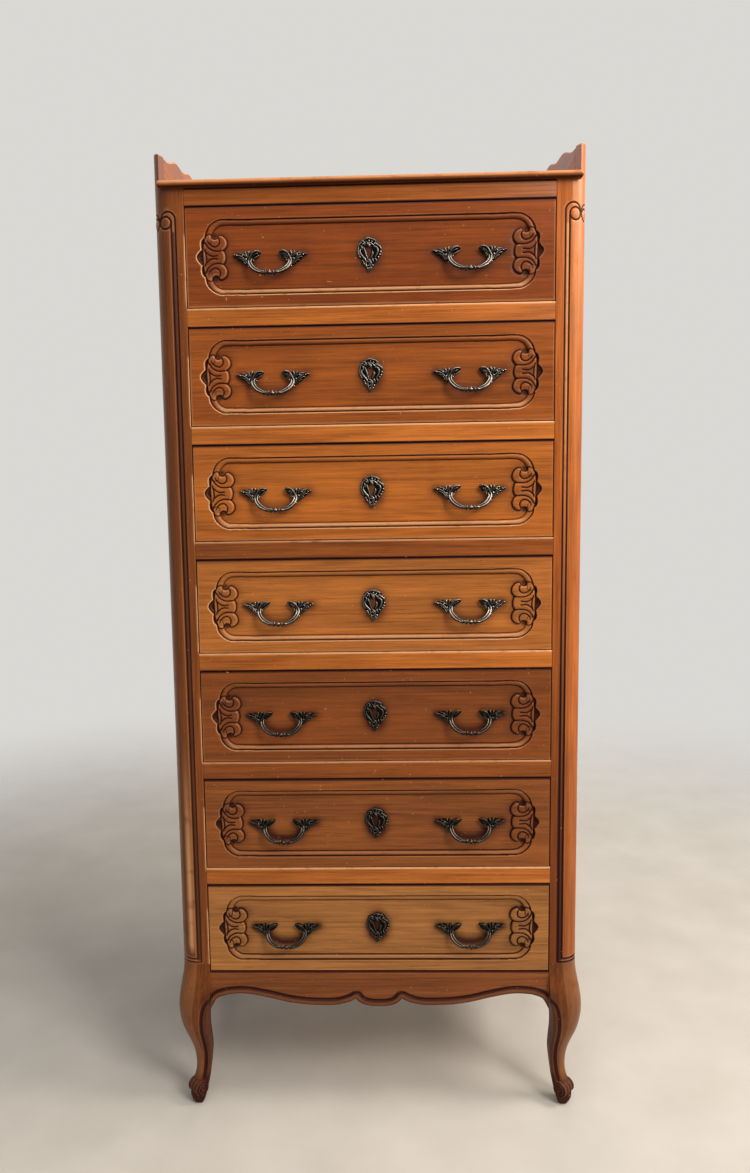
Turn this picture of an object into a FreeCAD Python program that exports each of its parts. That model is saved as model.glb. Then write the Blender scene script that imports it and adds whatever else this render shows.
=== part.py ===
import FreeCAD, Part
import math
import os
import re

# Semainier: a tall chest of seven equal drawers on cabriole legs, with a low gallery round its top.
# Frame: X to the right, Y into the depth, Z up, millimetres. The origin is on the floor, in the
# middle of the overall box. Inside the model the case front is the plane y = 0, and every finished
# piece is then moved by the same distance along Y.

DRAWERS = 7

SIZES = {
    # case
    "case_width": 608,
    "case_depth": 380,
    "post_width": 44,
    "post_depth": 40,
    "post_corner_radius": 25,
    "back_post_depth": 30,
    "leg_top": 236,
    "leg_block": 19,
    "leg_forward": 3.5,
    "foot_scroll_radius": 12.5,
    "foot_scroll_length": 15,
    "foot_scroll_inset": 14,
    "foot_scroll_height": 26,
    "back_leg_foot_depth": 14,
    "opening_drop": 12,
    "opening_height": 139,
    "rail_height": 26.5,
    "top_rail_height": 25,
    "front_board_thickness": 20,
    "side_thickness": 14,
    "side_recess": 3,
    "groove_depth": 8,
    "back_panel_thickness": 6,
    "rebate_width": 10,
    "back_rail_height": 26,
    "dowel_radius": 5,
    "dowel_length": 40,
    "dowel_play": 0.1,
    # top and gallery
    "top_thickness": 9,
    "nosing_overhang": 10,
    "gallery_thickness": 9.5,
    "gallery_tip_rise": 46.5,
    "gallery_front_rise": 53,
    "gallery_second_rise": 79,
    "gallery_third_rise": 97,
    "gallery_back_rise": 113,
    "gallery_centre_rise": 121,
    "gallery_second_shelf": 155,
    "gallery_third_shelf": 255,
    "gallery_swell": 0.025,
    # aprons
    "apron_ear": 62,
    "apron_crown": 37,
    "apron_low": 56,
    "apron_cusp": 45.5,
    "apron_centre": 58,
    "front_apron_low_at": 82,
    "front_apron_cusp_at": 35.5,
    "side_apron_low_at": 52,
    "side_apron_cusp_at": 22,
    "apron_bead_width": 10,
    "apron_bead_height": 1.5,
    # runners, guides and stops
    "runner_reach": 20,
    "runner_height": 18,
    "guide_height": 15,
    "stop_length": 30,
    "stop_depth": 12,
    "stop_height": 5,
    "stop_from_middle": 110,
    # drawer
    "front_side_gap": 1.2,
    "front_end_gap": 1,
    "runner_gap": 0.3,
    "drawer_back_gap": 10,
    "side_board": 12,
    "side_height": 112,
    "lap_depth": 10,
    "bottom_thickness": 5,
    "bottom_height": 10,
    "bottom_groove": 6,
    "back_drop": 4,
    # carved drawer front
    "field_depth": 4,
    "carving_height": 3.3,
    "bead_width": 6.5,
    "frame_groove": 1.5,
    "frame_end_margin": 27,
    "frame_height": 103,
    "frame_corner_radius": 26,
    "scroll_radius": 13,
    "scroll_from_end": 42,
    "scroll_from_middle": 22,
    "scroll_eye_radius": 5.3,
    "scroll_line_width": 1.6,
    "scroll_line_depth": 1.6,
    "tongue_radius": 9.5,
    "tongue_from_end": 46.5,
    "bud_radius": 8,
    "bud_from_end": 24,
    "leaf_radius": 11,
    "leaf_from_end": 34,
    "leaf_from_middle": 15,
    # pulls
    "pull_from_end": 118.8,
    "pull_above_middle": 2,
    "bail_radius": 2.6,
    "bail_half_width": 27.5,
    "bail_drop": 26,
    "bail_rise": 3,
    "bail_stand_off": 15,
    "knot_radius": 3.6,
    "knot_half_length": 9.5,
    "leaf_plate_thickness": 4,
    "leaf_reach": 52,
    "leaf_inner_tip": 13,
    "boss_radius": 5,
    "boss_end": 1.5,
    "screw_from_pull_middle": 32,
    "screw_radius": 2,
    "screw_head_radius": 4,
    "screw_head_height": 2.2,
    "screw_bite": 5.5,
    "bore_end_gap": 0.5,
    "screw_play": 0.05,
    "screw_hole_play": 0.3,
    # escutcheon
    "escutcheon_width": 36,
    "escutcheon_height": 49,
    "escutcheon_thickness": 3,
    "escutcheon_opening_width": 8,
    "escutcheon_opening_height": 19,
}

doc = FreeCAD.newDocument("Semainier")
sheet = doc.addObject("Spreadsheet::Sheet", "Sizes")
for row, (alias, value) in enumerate(SIZES.items(), start=1):
    sheet.set(f"A{row}", str(value))
    sheet.setAlias(f"A{row}", alias)
doc.recompute()


class Sheet:
    """The sizes as they stand in the spreadsheet."""

    def __getattr__(self, alias):
        return float(sheet.get(alias))


s = Sheet()
pieces = []


def cells(text):
    """An expression in which each size's name is written as its cell."""
    return re.sub(r"[a-z]+(?:_[a-z]+)+", lambda word: f"Sizes.{word.group(0)}", text)


def bind(obj, **expressions):
    for name, text in expressions.items():
        obj.setExpression(name, cells(text))


def place(obj, x="0", y="0", z="0"):
    for axis, text in zip("xyz", (x, y, z)):
        obj.setExpression(f"Placement.Base.{axis}", cells(text))


# Derived levels, as expressions and as numbers.
PULL_REACH = "(bail_stand_off + knot_radius - field_depth)"
SHIFT = f"({PULL_REACH} - case_depth) / 2"
PITCH = "(opening_height + rail_height)"
OPENING_BOTTOM = "(leg_top - opening_drop)"
CASE_TOP = f"({OPENING_BOTTOM} + {DRAWERS} * {PITCH} - rail_height + top_rail_height)"
OPENING_WIDTH = "(case_width - 2 * post_width)"
RUNNER_INSIDE = "(case_width / 2 - side_recess - side_thickness)"
RUNNER_LENGTH = "(case_depth - post_depth - back_post_depth)"
BACK_DOWEL = "(case_depth - (back_post_depth - groove_depth) / 2)"
DRAWER_OUTSIDE = "(case_width / 2 - post_width - front_side_gap)"
DRAWER_LENGTH = "(case_depth - back_post_depth - drawer_back_gap)"
PULL_FROM_MIDDLE = f"({DRAWER_OUTSIDE} - pull_from_end)"
BOSS_LENGTH = "(screw_bite + bore_end_gap + boss_end)"

half = s.case_width / 2
inner = half - s.post_width
pitch = s.opening_height + s.rail_height
opening_low = s.leg_top - s.opening_drop
case_top = opening_low + DRAWERS * pitch - s.rail_height + s.top_rail_height
side_out = half - s.side_recess
side_in = side_out - s.side_thickness
drawer_half = inner - s.front_side_gap
back_post_front = s.case_depth - s.back_post_depth
apron_bottom = opening_low - s.apron_ear


def opening_bottom(number):
    """Expression for the lower edge of a drawer's opening, drawer 1 at the top."""
    return f"{OPENING_BOTTOM} + {DRAWERS - number} * {PITCH}"


def finish(obj, label, z="0"):
    """Name a finished piece and move it from the case's frame to the part's."""
    obj.Label = label
    place(obj, y=SHIFT, z=z)
    pieces.append(obj)
    return obj


def mirrored(source, label):
    """The same piece on the other side of the plane x = 0."""
    obj = doc.addObject("Part::Mirroring", label)
    obj.Source = source
    obj.Base = (0, 0, 0)
    obj.Normal = (1, 0, 0)
    obj.Label = label
    return obj


def pair(body, name):
    """Finish a piece of the right side, and its mirror image on the left."""
    finish(body, f"{name}_right")
    pieces.append(mirrored(body, f"{name}_left"))


def box(name, length, width, height, x="0", y="0", z="0"):
    obj = doc.addObject("Part::Box", name)
    bind(obj, Length=length, Width=width, Height=height)
    place(obj, x, y, z)
    return obj


def board(name, sides, corner):
    """A plain board that is a piece of its own: its three sides and its lowest corner."""
    obj = box(name, *sides)
    obj.Label = name
    x, y, z = corner
    place(obj, x, f"{y} + {SHIFT}", z)
    pieces.append(obj)
    return obj


def cylinder(name, radius, height, x="0", y="0", z="0", rotation=None):
    obj = doc.addObject("Part::Cylinder", name)
    if rotation:
        obj.Placement = FreeCAD.Placement(FreeCAD.Vector(), rotation)
    bind(obj, Radius=radius, Height=height)
    place(obj, x, y, z)
    return obj


def compound(name, links):
    obj = doc.addObject("Part::Compound", name)
    obj.Links = links
    return obj


def fused(name, shapes):
    obj = doc.addObject("Part::MultiFuse", name)
    obj.Shapes = shapes
    return obj


# Sketches and features of a PartDesign body. A sketch on the XZ plane looks to the back: its
# normal is -Y. On the YZ plane the normal is +X, and the sketch's own x runs along Y.
def new_body(name):
    return doc.addObject("PartDesign::Body", name)


def new_sketch(body, plane, offset=0.0):
    """An empty sketch on one of the body's origin planes, moved along the plane's normal."""
    sketch = body.newObject("Sketcher::SketchObject", f"{body.Name}_sketch")
    origin_plane = next(item for item in body.Origin.OriginFeatures if item.Role == plane)
    sketch.AttachmentSupport = [(origin_plane, "")]
    sketch.MapMode = "FlatFace"
    sketch.AttachmentOffset = FreeCAD.Placement(FreeCAD.Vector(0, 0, offset), FreeCAD.Rotation())
    return sketch


def draw(sketch, start, *steps):
    """A closed outline. A step is an end point, or a point to pass through and an end point."""
    at = FreeCAD.Vector(*start, 0)
    first = at
    for step in steps:
        if isinstance(step[0], (tuple, list)):
            end = FreeCAD.Vector(*step[1], 0)
            sketch.addGeometry(Part.Arc(at, FreeCAD.Vector(*step[0], 0), end), False)
        else:
            end = FreeCAD.Vector(*step, 0)
            sketch.addGeometry(Part.LineSegment(at, end), False)
        at = end
    if at.distanceToPoint(first) > 1e-6:
        sketch.addGeometry(Part.LineSegment(at, first), False)
    return sketch


def draw_circle(sketch, x, y, radius):
    """A circle whose centre and radius are expressions."""
    import Sketcher
    shape = Part.Circle(FreeCAD.Vector(1, 1, 0), FreeCAD.Vector(0, 0, 1), 1)
    index = sketch.addGeometry(shape, False)
    for kind, text in (("DistanceX", x), ("DistanceY", y), ("Radius", radius)):
        if kind == "Radius":
            item = sketch.addConstraint(Sketcher.Constraint(kind, index, 1.0))
        else:
            item = sketch.addConstraint(Sketcher.Constraint(kind, -1, 1, index, 3, 1.0))
        sketch.setExpression(f"Constraints[{item}]", cells(text))
    return sketch


def draw_rectangle(sketch, left, right, low, high):
    """A rectangle whose four sides are expressions."""
    import Sketcher
    corners = [FreeCAD.Vector(x, y, 0) for x, y in ((1, 1), (2, 1), (2, 2), (1, 2))]
    sides = [
        sketch.addGeometry(Part.LineSegment(corners[n], corners[(n + 1) % 4]), False)
        for n in range(4)
    ]
    for n in range(4):
        sketch.addConstraint(Sketcher.Constraint("Coincident", sides[n], 2, sides[(n + 1) % 4], 1))
    for kind, side in (("Horizontal", 0), ("Vertical", 1), ("Horizontal", 2), ("Vertical", 3)):
        sketch.addConstraint(Sketcher.Constraint(kind, sides[side]))
    limits = (("DistanceX", 0, left, 1.0), ("DistanceY", 0, low, 1.0),
              ("DistanceX", 2, right, 2.0), ("DistanceY", 2, high, 2.0))
    for kind, side, text, guess in limits:
        item = sketch.addConstraint(Sketcher.Constraint(kind, -1, 1, sides[side], 1, guess))
        sketch.setExpression(f"Constraints[{item}]", cells(text))
    return sketch


def pad(body, sketch, length, backwards=False):
    feature = body.newObject("PartDesign::Pad", f"{body.Name}_pad")
    feature.Profile = sketch
    feature.Reversed = backwards
    feature.setExpression("Length", cells(length))
    return feature


def pocket(body, sketch, length, backwards=False):
    feature = body.newObject("PartDesign::Pocket", f"{body.Name}_pocket")
    feature.Profile = sketch
    feature.Reversed = backwards
    feature.setExpression("Length", cells(length))
    return feature


def s_curve(start, end, swell):
    """Two arcs that rise from one shelf to the next: hollow first, then full."""
    (x0, y0), (x1, y1) = start, end
    middle = ((x0 + x1) / 2, (y0 + y1) / 2)
    length = math.hypot(x1 - x0, y1 - y0)
    across = ((y1 - y0) / length, (x0 - x1) / length)
    if across[1] > 0:
        across = (-across[0], -across[1])
    depth = swell * length
    hollow = ((x0 + middle[0]) / 2 + across[0] * depth, (y0 + middle[1]) / 2 + across[1] * depth)
    full = ((x1 + middle[0]) / 2 - across[0] * depth, (y1 + middle[1]) / 2 - across[1] * depth)
    return [(hollow, middle), (full, end)]


# ---------------------------------------------------------------- posts
def corner_section(low, high, inside, outside):
    """Plan of a front post: square, with one large round corner at the outside front."""
    radius = s.post_corner_radius
    middle = radius * (1 - math.sqrt(0.5))
    return ((inside, low), (outside - radius, low),
            ((outside - middle, low + middle), (outside, low + radius)),
            (outside, high), (inside, high))


def ear_outline():
    """Side view of the post's ear: a rounded tip, then a slow rise to the first shelf."""
    tip = case_top + s.gallery_tip_rise
    shelf = case_top + s.gallery_front_rise
    tip_radius = 7
    middle = s.post_depth / 2
    return [(0, tip - tip_radius - 1),
            ((tip_radius * 0.29, tip - tip_radius * 0.35), (tip_radius, tip)),
            ((middle, (tip + shelf) / 2 + 1.2), (s.post_depth, shelf))]


def front_post():
    body = new_body("front_post")
    section = new_sketch(body, "XY_Plane", s.leg_top)
    draw(section, *corner_section(0, s.post_depth, inner, half))
    pad(body, section, f"{CASE_TOP} + gallery_front_rise - leg_top")

    notch = new_sketch(body, "XY_Plane", case_top + s.gallery_front_rise)
    draw_rectangle(notch, "case_width / 2 - post_width - 1", "case_width / 2 - gallery_thickness",
                   "-1", "post_depth + 1")
    pocket(body, notch, "gallery_front_rise")

    groove = new_sketch(body, "XY_Plane", s.leg_top)
    draw_rectangle(groove, RUNNER_INSIDE, "case_width / 2 - side_recess",
                   "post_depth - groove_depth", "post_depth + 1")
    pocket(body, groove, f"{CASE_TOP} - leg_top", backwards=True)

    start, *tip = ear_outline()
    above = new_sketch(body, "YZ_Plane")
    over = case_top + s.gallery_front_rise + 1
    draw(above, (-1, over), (-1, start[1]), start, *tip, (s.post_depth + 1, tip[-1][1][1]),
         (s.post_depth + 1, over))
    pocket(body, above, "case_width / 2 + 1", backwards=True)

    socket = new_sketch(body, "XY_Plane", s.leg_top)
    draw_circle(socket, "case_width / 2 - post_width / 2", "post_depth / 2",
                "dowel_radius + dowel_play")
    pocket(body, socket, "dowel_length / 2", backwards=True)
    pair(body, "front_post")


def back_post():
    body = new_body("back_post")
    section = new_sketch(body, "XY_Plane", s.leg_top)
    front, back = back_post_front, s.case_depth
    bed = back - s.back_panel_thickness
    draw(section, (inner, front), (side_in, front), (side_in, front + s.groove_depth),
         (side_out, front + s.groove_depth), (side_out, front), (half, front), (half, back),
         (inner + s.rebate_width, back), (inner + s.rebate_width, bed), (inner, bed))
    pad(body, section, f"{CASE_TOP} - leg_top")
    socket = new_sketch(body, "XY_Plane", s.leg_top)
    draw_circle(socket, "case_width / 2 - post_width / 2", BACK_DOWEL,
                "dowel_radius + dowel_play")
    pocket(body, socket, "dowel_length / 2", backwards=True)
    pair(body, "back_post")


# ---------------------------------------------------------------- legs
# The cabriole curve, from the block down to the floor: height of a section as a share of the
# height under the block, how far its outer side stands outside the case, and how thick it is.
LEG_CURVE = (
    (1.00, 0.5, 44.5),
    (0.90, 5, 49),
    (0.79, 8, 52),
    (0.675, 6, 46),
    (0.55, -1, 39.5),
    (0.45, -9.5, 33),
    (0.355, -14.5, 27.5),
    (0.26, -16.5, 23),
    (0.20, -14.5, 22),
    (0.13, -4, 31.5),
    (0.057, -4.5, 28),
    (0, -9.5, 18),
)


def rounded_section(sketch, x0, x1, y0, y1, front_radius, other_radius):
    """A square with a large radius at its outer front corner and small ones at the others."""
    f, o = front_radius, other_radius
    cut = 1 - math.sqrt(0.5)
    draw(sketch, (x0 + o, y0), (x1 - f, y0), ((x1 - f * cut, y0 + f * cut), (x1, y0 + f)),
         (x1, y1 - o), ((x1 - o * cut, y1 - o * cut), (x1 - o, y1)),
         (x0 + o, y1), ((x0 + o * cut, y1 - o * cut), (x0, y1 - o)),
         (x0, y0 + o), ((x0 + o * cut, y0 + o * cut), (x0 + o, y0)))


def loft(body, sections):
    feature = body.newObject("PartDesign::AdditiveLoft", f"{body.Name}_loft")
    feature.Profile = sections[0]
    feature.Sections = sections[1:]
    return feature


def flat_side(body, x0, x1, y0, y1):
    """Plane away what the curve leaves outside the leg's block, where an apron meets the leg."""
    waste = new_sketch(body, "XY_Plane", apron_bottom)
    draw(waste, (x0, y0), (x1, y0), (x1, y1), (x0, y1))
    pocket(body, waste, f"leg_top - {OPENING_BOTTOM} + apron_ear", backwards=True)


def leg_sections(body, square):
    """The sections of a leg's curve; square gives each one its place and its radii."""
    under_block = s.leg_top - s.leg_block
    sections = []
    for share, outward, thickness in LEG_CURVE:
        section = new_sketch(body, "XY_Plane", share * under_block)
        rounded_section(section, *square(half + outward, outward, thickness))
        sections.append(section)
    return sections


def front_leg():
    body = new_body("front_leg")
    block = new_sketch(body, "XY_Plane", s.leg_top - s.leg_block)
    draw(block, *corner_section(0, s.post_depth, inner, half))
    pad(body, block, "leg_block")

    def square(outside, outward, thickness):
        front = -outward - s.leg_forward
        return (outside - thickness, outside, front, front + thickness,
                0.6 * thickness, 0.1 * thickness)

    loft(body, leg_sections(body, square))
    waste = s.post_width
    flat_side(body, inner - waste, inner, -waste, s.post_depth)
    flat_side(body, inner - waste, half + waste, s.post_depth, s.post_depth + waste)

    # the scroll of the foot: a short roll across the line that points outwards
    scroll = body.newObject("PartDesign::AdditiveCylinder", "front_leg_scroll")
    bind(scroll, Radius="foot_scroll_radius", Height="foot_scroll_length")
    across = FreeCAD.Rotation(FreeCAD.Vector(0, 0, 1), FreeCAD.Vector(1, 1, 0))
    middle = FreeCAD.Vector(half - s.foot_scroll_inset, s.foot_scroll_inset - s.leg_forward,
                            s.foot_scroll_height)
    start = middle - across.multVec(FreeCAD.Vector(0, 0, s.foot_scroll_length / 2))
    scroll.Placement = FreeCAD.Placement(start, across)

    socket = new_sketch(body, "XY_Plane", s.leg_top)
    draw_circle(socket, "case_width / 2 - post_width / 2", "post_depth / 2",
                "dowel_radius + dowel_play")
    pocket(body, socket, "dowel_length / 2")
    pair(body, "front_leg")


def back_leg():
    """The back legs bow to the side only, so that the case stands flat against a wall."""
    body = new_body("back_leg")
    block = new_sketch(body, "XY_Plane", s.leg_top - s.leg_block)
    draw(block, (inner, back_post_front), (half, back_post_front), (half, s.case_depth),
         (inner, s.case_depth))
    pad(body, block, "leg_block")

    def square(outside, outward, thickness):
        depth = min(s.back_post_depth, 0.6 * thickness + s.back_leg_foot_depth / 2)
        return (outside - thickness, outside, s.case_depth - depth, s.case_depth,
                0.1 * thickness, 0.1 * thickness)

    loft(body, leg_sections(body, square))
    waste = s.post_width
    flat_side(body, inner - waste, inner, back_post_front - waste, s.case_depth + waste)
    flat_side(body, inner - waste, half + waste, back_post_front - waste, back_post_front)
    socket = new_sketch(body, "XY_Plane", s.leg_top)
    draw_circle(socket, "case_width / 2 - post_width / 2", BACK_DOWEL,
                "dowel_radius + dowel_play")
    pocket(body, socket, "dowel_length / 2")
    pair(body, "back_leg")


def leg_dowels():
    dowels = []
    rows = (("front", "post_depth / 2"), ("back", BACK_DOWEL))
    for row, y in rows:
        for side, sign in (("left", "-"), ("right", "")):
            dowels.append(cylinder(f"dowel_{row}_{side}", "dowel_radius", "dowel_length",
                                   f"{sign}(case_width - post_width) / 2", y,
                                   "leg_top - dowel_length / 2"))
    finish(compound("leg_dowels", dowels), "leg_dowels")


# ---------------------------------------------------------------- aprons
def apron_edge(reach, low, cusp, lift=0.0):
    """Lower edge of an apron, from its right end to its left end, as steps for draw().

    An ear runs down beside each leg, a long slow curve falls to a low point on either side,
    two cusps stand beside the middle, and a round lobe hangs between them.
    """
    base = opening_low + lift
    ear, crown = base - s.apron_ear, base - s.apron_crown
    low_z, cusp_z, lobe_z = base - s.apron_low, base - s.apron_cusp, base - s.apron_centre
    crown_at = reach - 48
    fall_from = crown_at - 17
    right = [((reach, ear), None),
             ((reach - 9, crown - 9 + 0.3 * lift), (crown_at + 17, crown - 1)),
             ((crown_at, crown), (fall_from, crown - 1.5)),
             (((fall_from + low) / 2, (crown + low_z) / 2 - 4), (low, low_z)),
             (((low + cusp) / 2 - 2, low_z + 2), (cusp, cusp_z))]
    points = [right[0][0]] + [end for _, end in right[1:]]
    left = [((-through[0], through[1]), (-end[0], end[1]))
            for (through, _), end in zip(reversed(right[1:]), reversed(points[:-1]))]
    return points[0], right[1:] + [((0, lobe_z), (-cusp, cusp_z))] + left


def reversed_steps(start, steps):
    """The same line drawn from its other end."""
    ends = [start] + [end for _, end in steps]
    turned = [(through, end) for (through, _), end in zip(reversed(steps), reversed(ends[:-1]))]
    return ends[-1], turned


def front_apron():
    body = new_body("front_apron")
    board = new_sketch(body, "XZ_Plane")
    shape = (inner, s.front_apron_low_at, s.front_apron_cusp_at)
    start, edge = apron_edge(*shape)
    draw(board, (inner, opening_low), start, *edge, (-inner, opening_low))
    pad(body, board, "front_board_thickness", backwards=True)
    bead = new_sketch(body, "XZ_Plane")
    end, back_again = reversed_steps(*apron_edge(*shape, s.apron_bead_width))
    draw(bead, start, *edge, end, *back_again)
    pad(body, bead, "apron_bead_height")
    finish(body, "front_apron")


def side_apron():
    body = new_body("side_apron")
    board = new_sketch(body, "YZ_Plane", side_in)
    middle = (s.post_depth + back_post_front) / 2
    reach = (back_post_front - s.post_depth) / 2
    start, edge = apron_edge(reach, s.side_apron_low_at, s.side_apron_cusp_at)
    steps = [tuple((x + middle, z) for x, z in step) for step in edge]
    draw(board, (back_post_front, s.leg_top), (start[0] + middle, start[1]), *steps,
         (s.post_depth, s.leg_top))
    pad(body, board, "side_thickness")
    pair(body, "side_apron")


# ---------------------------------------------------------------- rails, runners, back
def rails():
    board("top_rail", (OPENING_WIDTH, "front_board_thickness", "top_rail_height"),
          (f"-{OPENING_WIDTH} / 2", "0", f"{CASE_TOP} - top_rail_height"))
    dividers = [
        box(f"divider_{number}", OPENING_WIDTH, "post_depth", "rail_height",
            f"-{OPENING_WIDTH} / 2", "0", f"{opening_bottom(number)} - rail_height")
        for number in range(1, DRAWERS)
    ]
    dividers.append(box("inner_rail", OPENING_WIDTH, "post_depth - front_board_thickness",
                        "runner_height", f"-{OPENING_WIDTH} / 2", "front_board_thickness",
                        f"{OPENING_BOTTOM} - runner_height"))
    finish(compound("drawer_rails", dividers), "drawer_rails")
    stops = [
        box(f"stop_{number}_{side}", "stop_length", "stop_depth", "stop_height",
            f"{sign}stop_from_middle - stop_length / 2", "front_board_thickness + runner_gap",
            opening_bottom(number))
        for number in range(1, DRAWERS + 1) for side, sign in (("left", "-"), ("right", ""))
    ]
    finish(compound("drawer_stops", stops), "drawer_stops")


def runners():
    strips = []
    for number in range(1, DRAWERS + 1):
        level = opening_bottom(number)
        strips.append(box(f"runner_{number}",
                          f"{RUNNER_INSIDE} - {OPENING_WIDTH} / 2 + runner_reach",
                          RUNNER_LENGTH, "runner_height",
                          f"{OPENING_WIDTH} / 2 - runner_reach", "post_depth",
                          f"{level} - runner_height"))
        strips.append(box(f"guide_{number}", f"{RUNNER_INSIDE} - {OPENING_WIDTH} / 2",
                          RUNNER_LENGTH, "guide_height", f"{OPENING_WIDTH} / 2", "post_depth",
                          level))
    right = finish(compound("runners", strips), "runners_right")
    pieces.append(mirrored(right, "runners_left"))


def side_panels():
    panel = board("side_panel_right", ("side_thickness", f"{RUNNER_LENGTH} + 2 * groove_depth",
                                       f"{CASE_TOP} - leg_top"),
                  (RUNNER_INSIDE, "post_depth - groove_depth", "leg_top"))
    pieces.append(mirrored(panel, "side_panel_left"))


def case_back():
    bed = "back_post_depth - back_panel_thickness"
    back_rails = [
        box(f"back_rail_{name}", OPENING_WIDTH, bed, "back_rail_height",
            f"-{OPENING_WIDTH} / 2", "case_depth - back_post_depth", level)
        for name, level in (("upper", f"{CASE_TOP} - back_rail_height"), ("lower", "leg_top"))
    ]
    finish(compound("back_rails", back_rails), "back_rails")
    board("back_panel", (f"{OPENING_WIDTH} + 2 * rebate_width", "back_panel_thickness",
                         f"{CASE_TOP} - leg_top"),
          (f"-{OPENING_WIDTH} / 2 - rebate_width", "case_depth - back_panel_thickness",
           "leg_top"))


# ---------------------------------------------------------------- top and gallery
def top_board():
    body = new_body("top_board")
    outside = half - s.gallery_thickness
    section = new_sketch(body, "YZ_Plane", -outside)
    radius = s.top_thickness / 2
    nose = -s.nosing_overhang + radius
    back = s.case_depth - s.gallery_thickness
    draw(section, (nose, case_top), (back, case_top), (back, case_top + s.top_thickness),
         (nose, case_top + s.top_thickness), ((nose - radius, case_top + radius),
                                              (nose, case_top)))
    pad(body, section, "case_width - 2 * gallery_thickness")
    finish(body, "top_board")


def gallery():
    shelves = ((s.post_depth, s.gallery_front_rise),
               (s.gallery_second_shelf, s.gallery_second_rise),
               (s.gallery_third_shelf, s.gallery_third_rise),
               (s.case_depth, s.gallery_back_rise))
    wave = []
    for (y0, rise0), (y1, rise1) in zip(shelves, shelves[1:]):
        wave += s_curve((y0, case_top + rise0), (y1, case_top + rise1), s.gallery_swell)
    body = new_body("gallery_side")
    outline = new_sketch(body, "YZ_Plane", half - s.gallery_thickness)
    draw(outline, (s.case_depth, case_top), (s.post_depth, case_top),
         (s.post_depth, case_top + s.gallery_front_rise), *wave)
    pad(body, outline, "gallery_thickness")
    pair(body, "gallery")

    body = new_body("gallery_back")
    outline = new_sketch(body, "XZ_Plane", s.gallery_thickness - s.case_depth)
    reach = half - s.gallery_thickness
    corner, crest = case_top + s.gallery_back_rise, case_top + s.gallery_centre_rise
    rise = s_curve((reach, corner), (reach / 3, crest), s.gallery_swell)
    fall = [((-rise[1][0][0], rise[1][0][1]), (-rise[0][1][0], rise[0][1][1])),
            ((-rise[0][0][0], rise[0][0][1]), (-reach, corner))]
    draw(outline, (-reach, case_top), (reach, case_top), (reach, corner), *rise,
         ((0, crest + 3), (-reach / 3, crest)), *fall)
    pad(body, outline, "gallery_thickness", backwards=True)
    finish(body, "gallery_back")


# ---------------------------------------------------------------- drawers
def on_both_ends(sketch, from_end, from_middle, radius):
    """The same circle at both ends of a drawer front, above and below its middle line."""
    middle = "opening_height / 2"
    levels = (middle,) if from_middle == "0" else (f"{middle} + {from_middle}",
                                                   f"{middle} - {from_middle}")
    for level in levels:
        draw_circle(sketch, f"{DRAWER_OUTSIDE} - {from_end}", level, radius)
        draw_circle(sketch, f"{from_end} - {DRAWER_OUTSIDE}", level, radius)
    return sketch


def rounded_frame(sketch, inset):
    """The frame's rounded rectangle, moved inwards by an inset."""
    x = drawer_half - s.frame_end_margin - inset
    z = s.frame_height / 2 - inset
    radius = s.frame_corner_radius - inset
    middle = s.opening_height / 2
    cut = radius * (1 - math.sqrt(0.5))
    draw(sketch, (x - radius, middle - z),
         ((x - cut, middle - z + cut), (x, middle - z + radius)), (x, middle + z - radius),
         ((x - cut, middle + z - cut), (x - radius, middle + z)), (radius - x, middle + z),
         ((cut - x, middle + z - cut), (-x, middle + z - radius)), (-x, middle - z + radius),
         ((cut - x, middle - z + cut), (radius - x, middle - z)))
    return sketch


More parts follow.
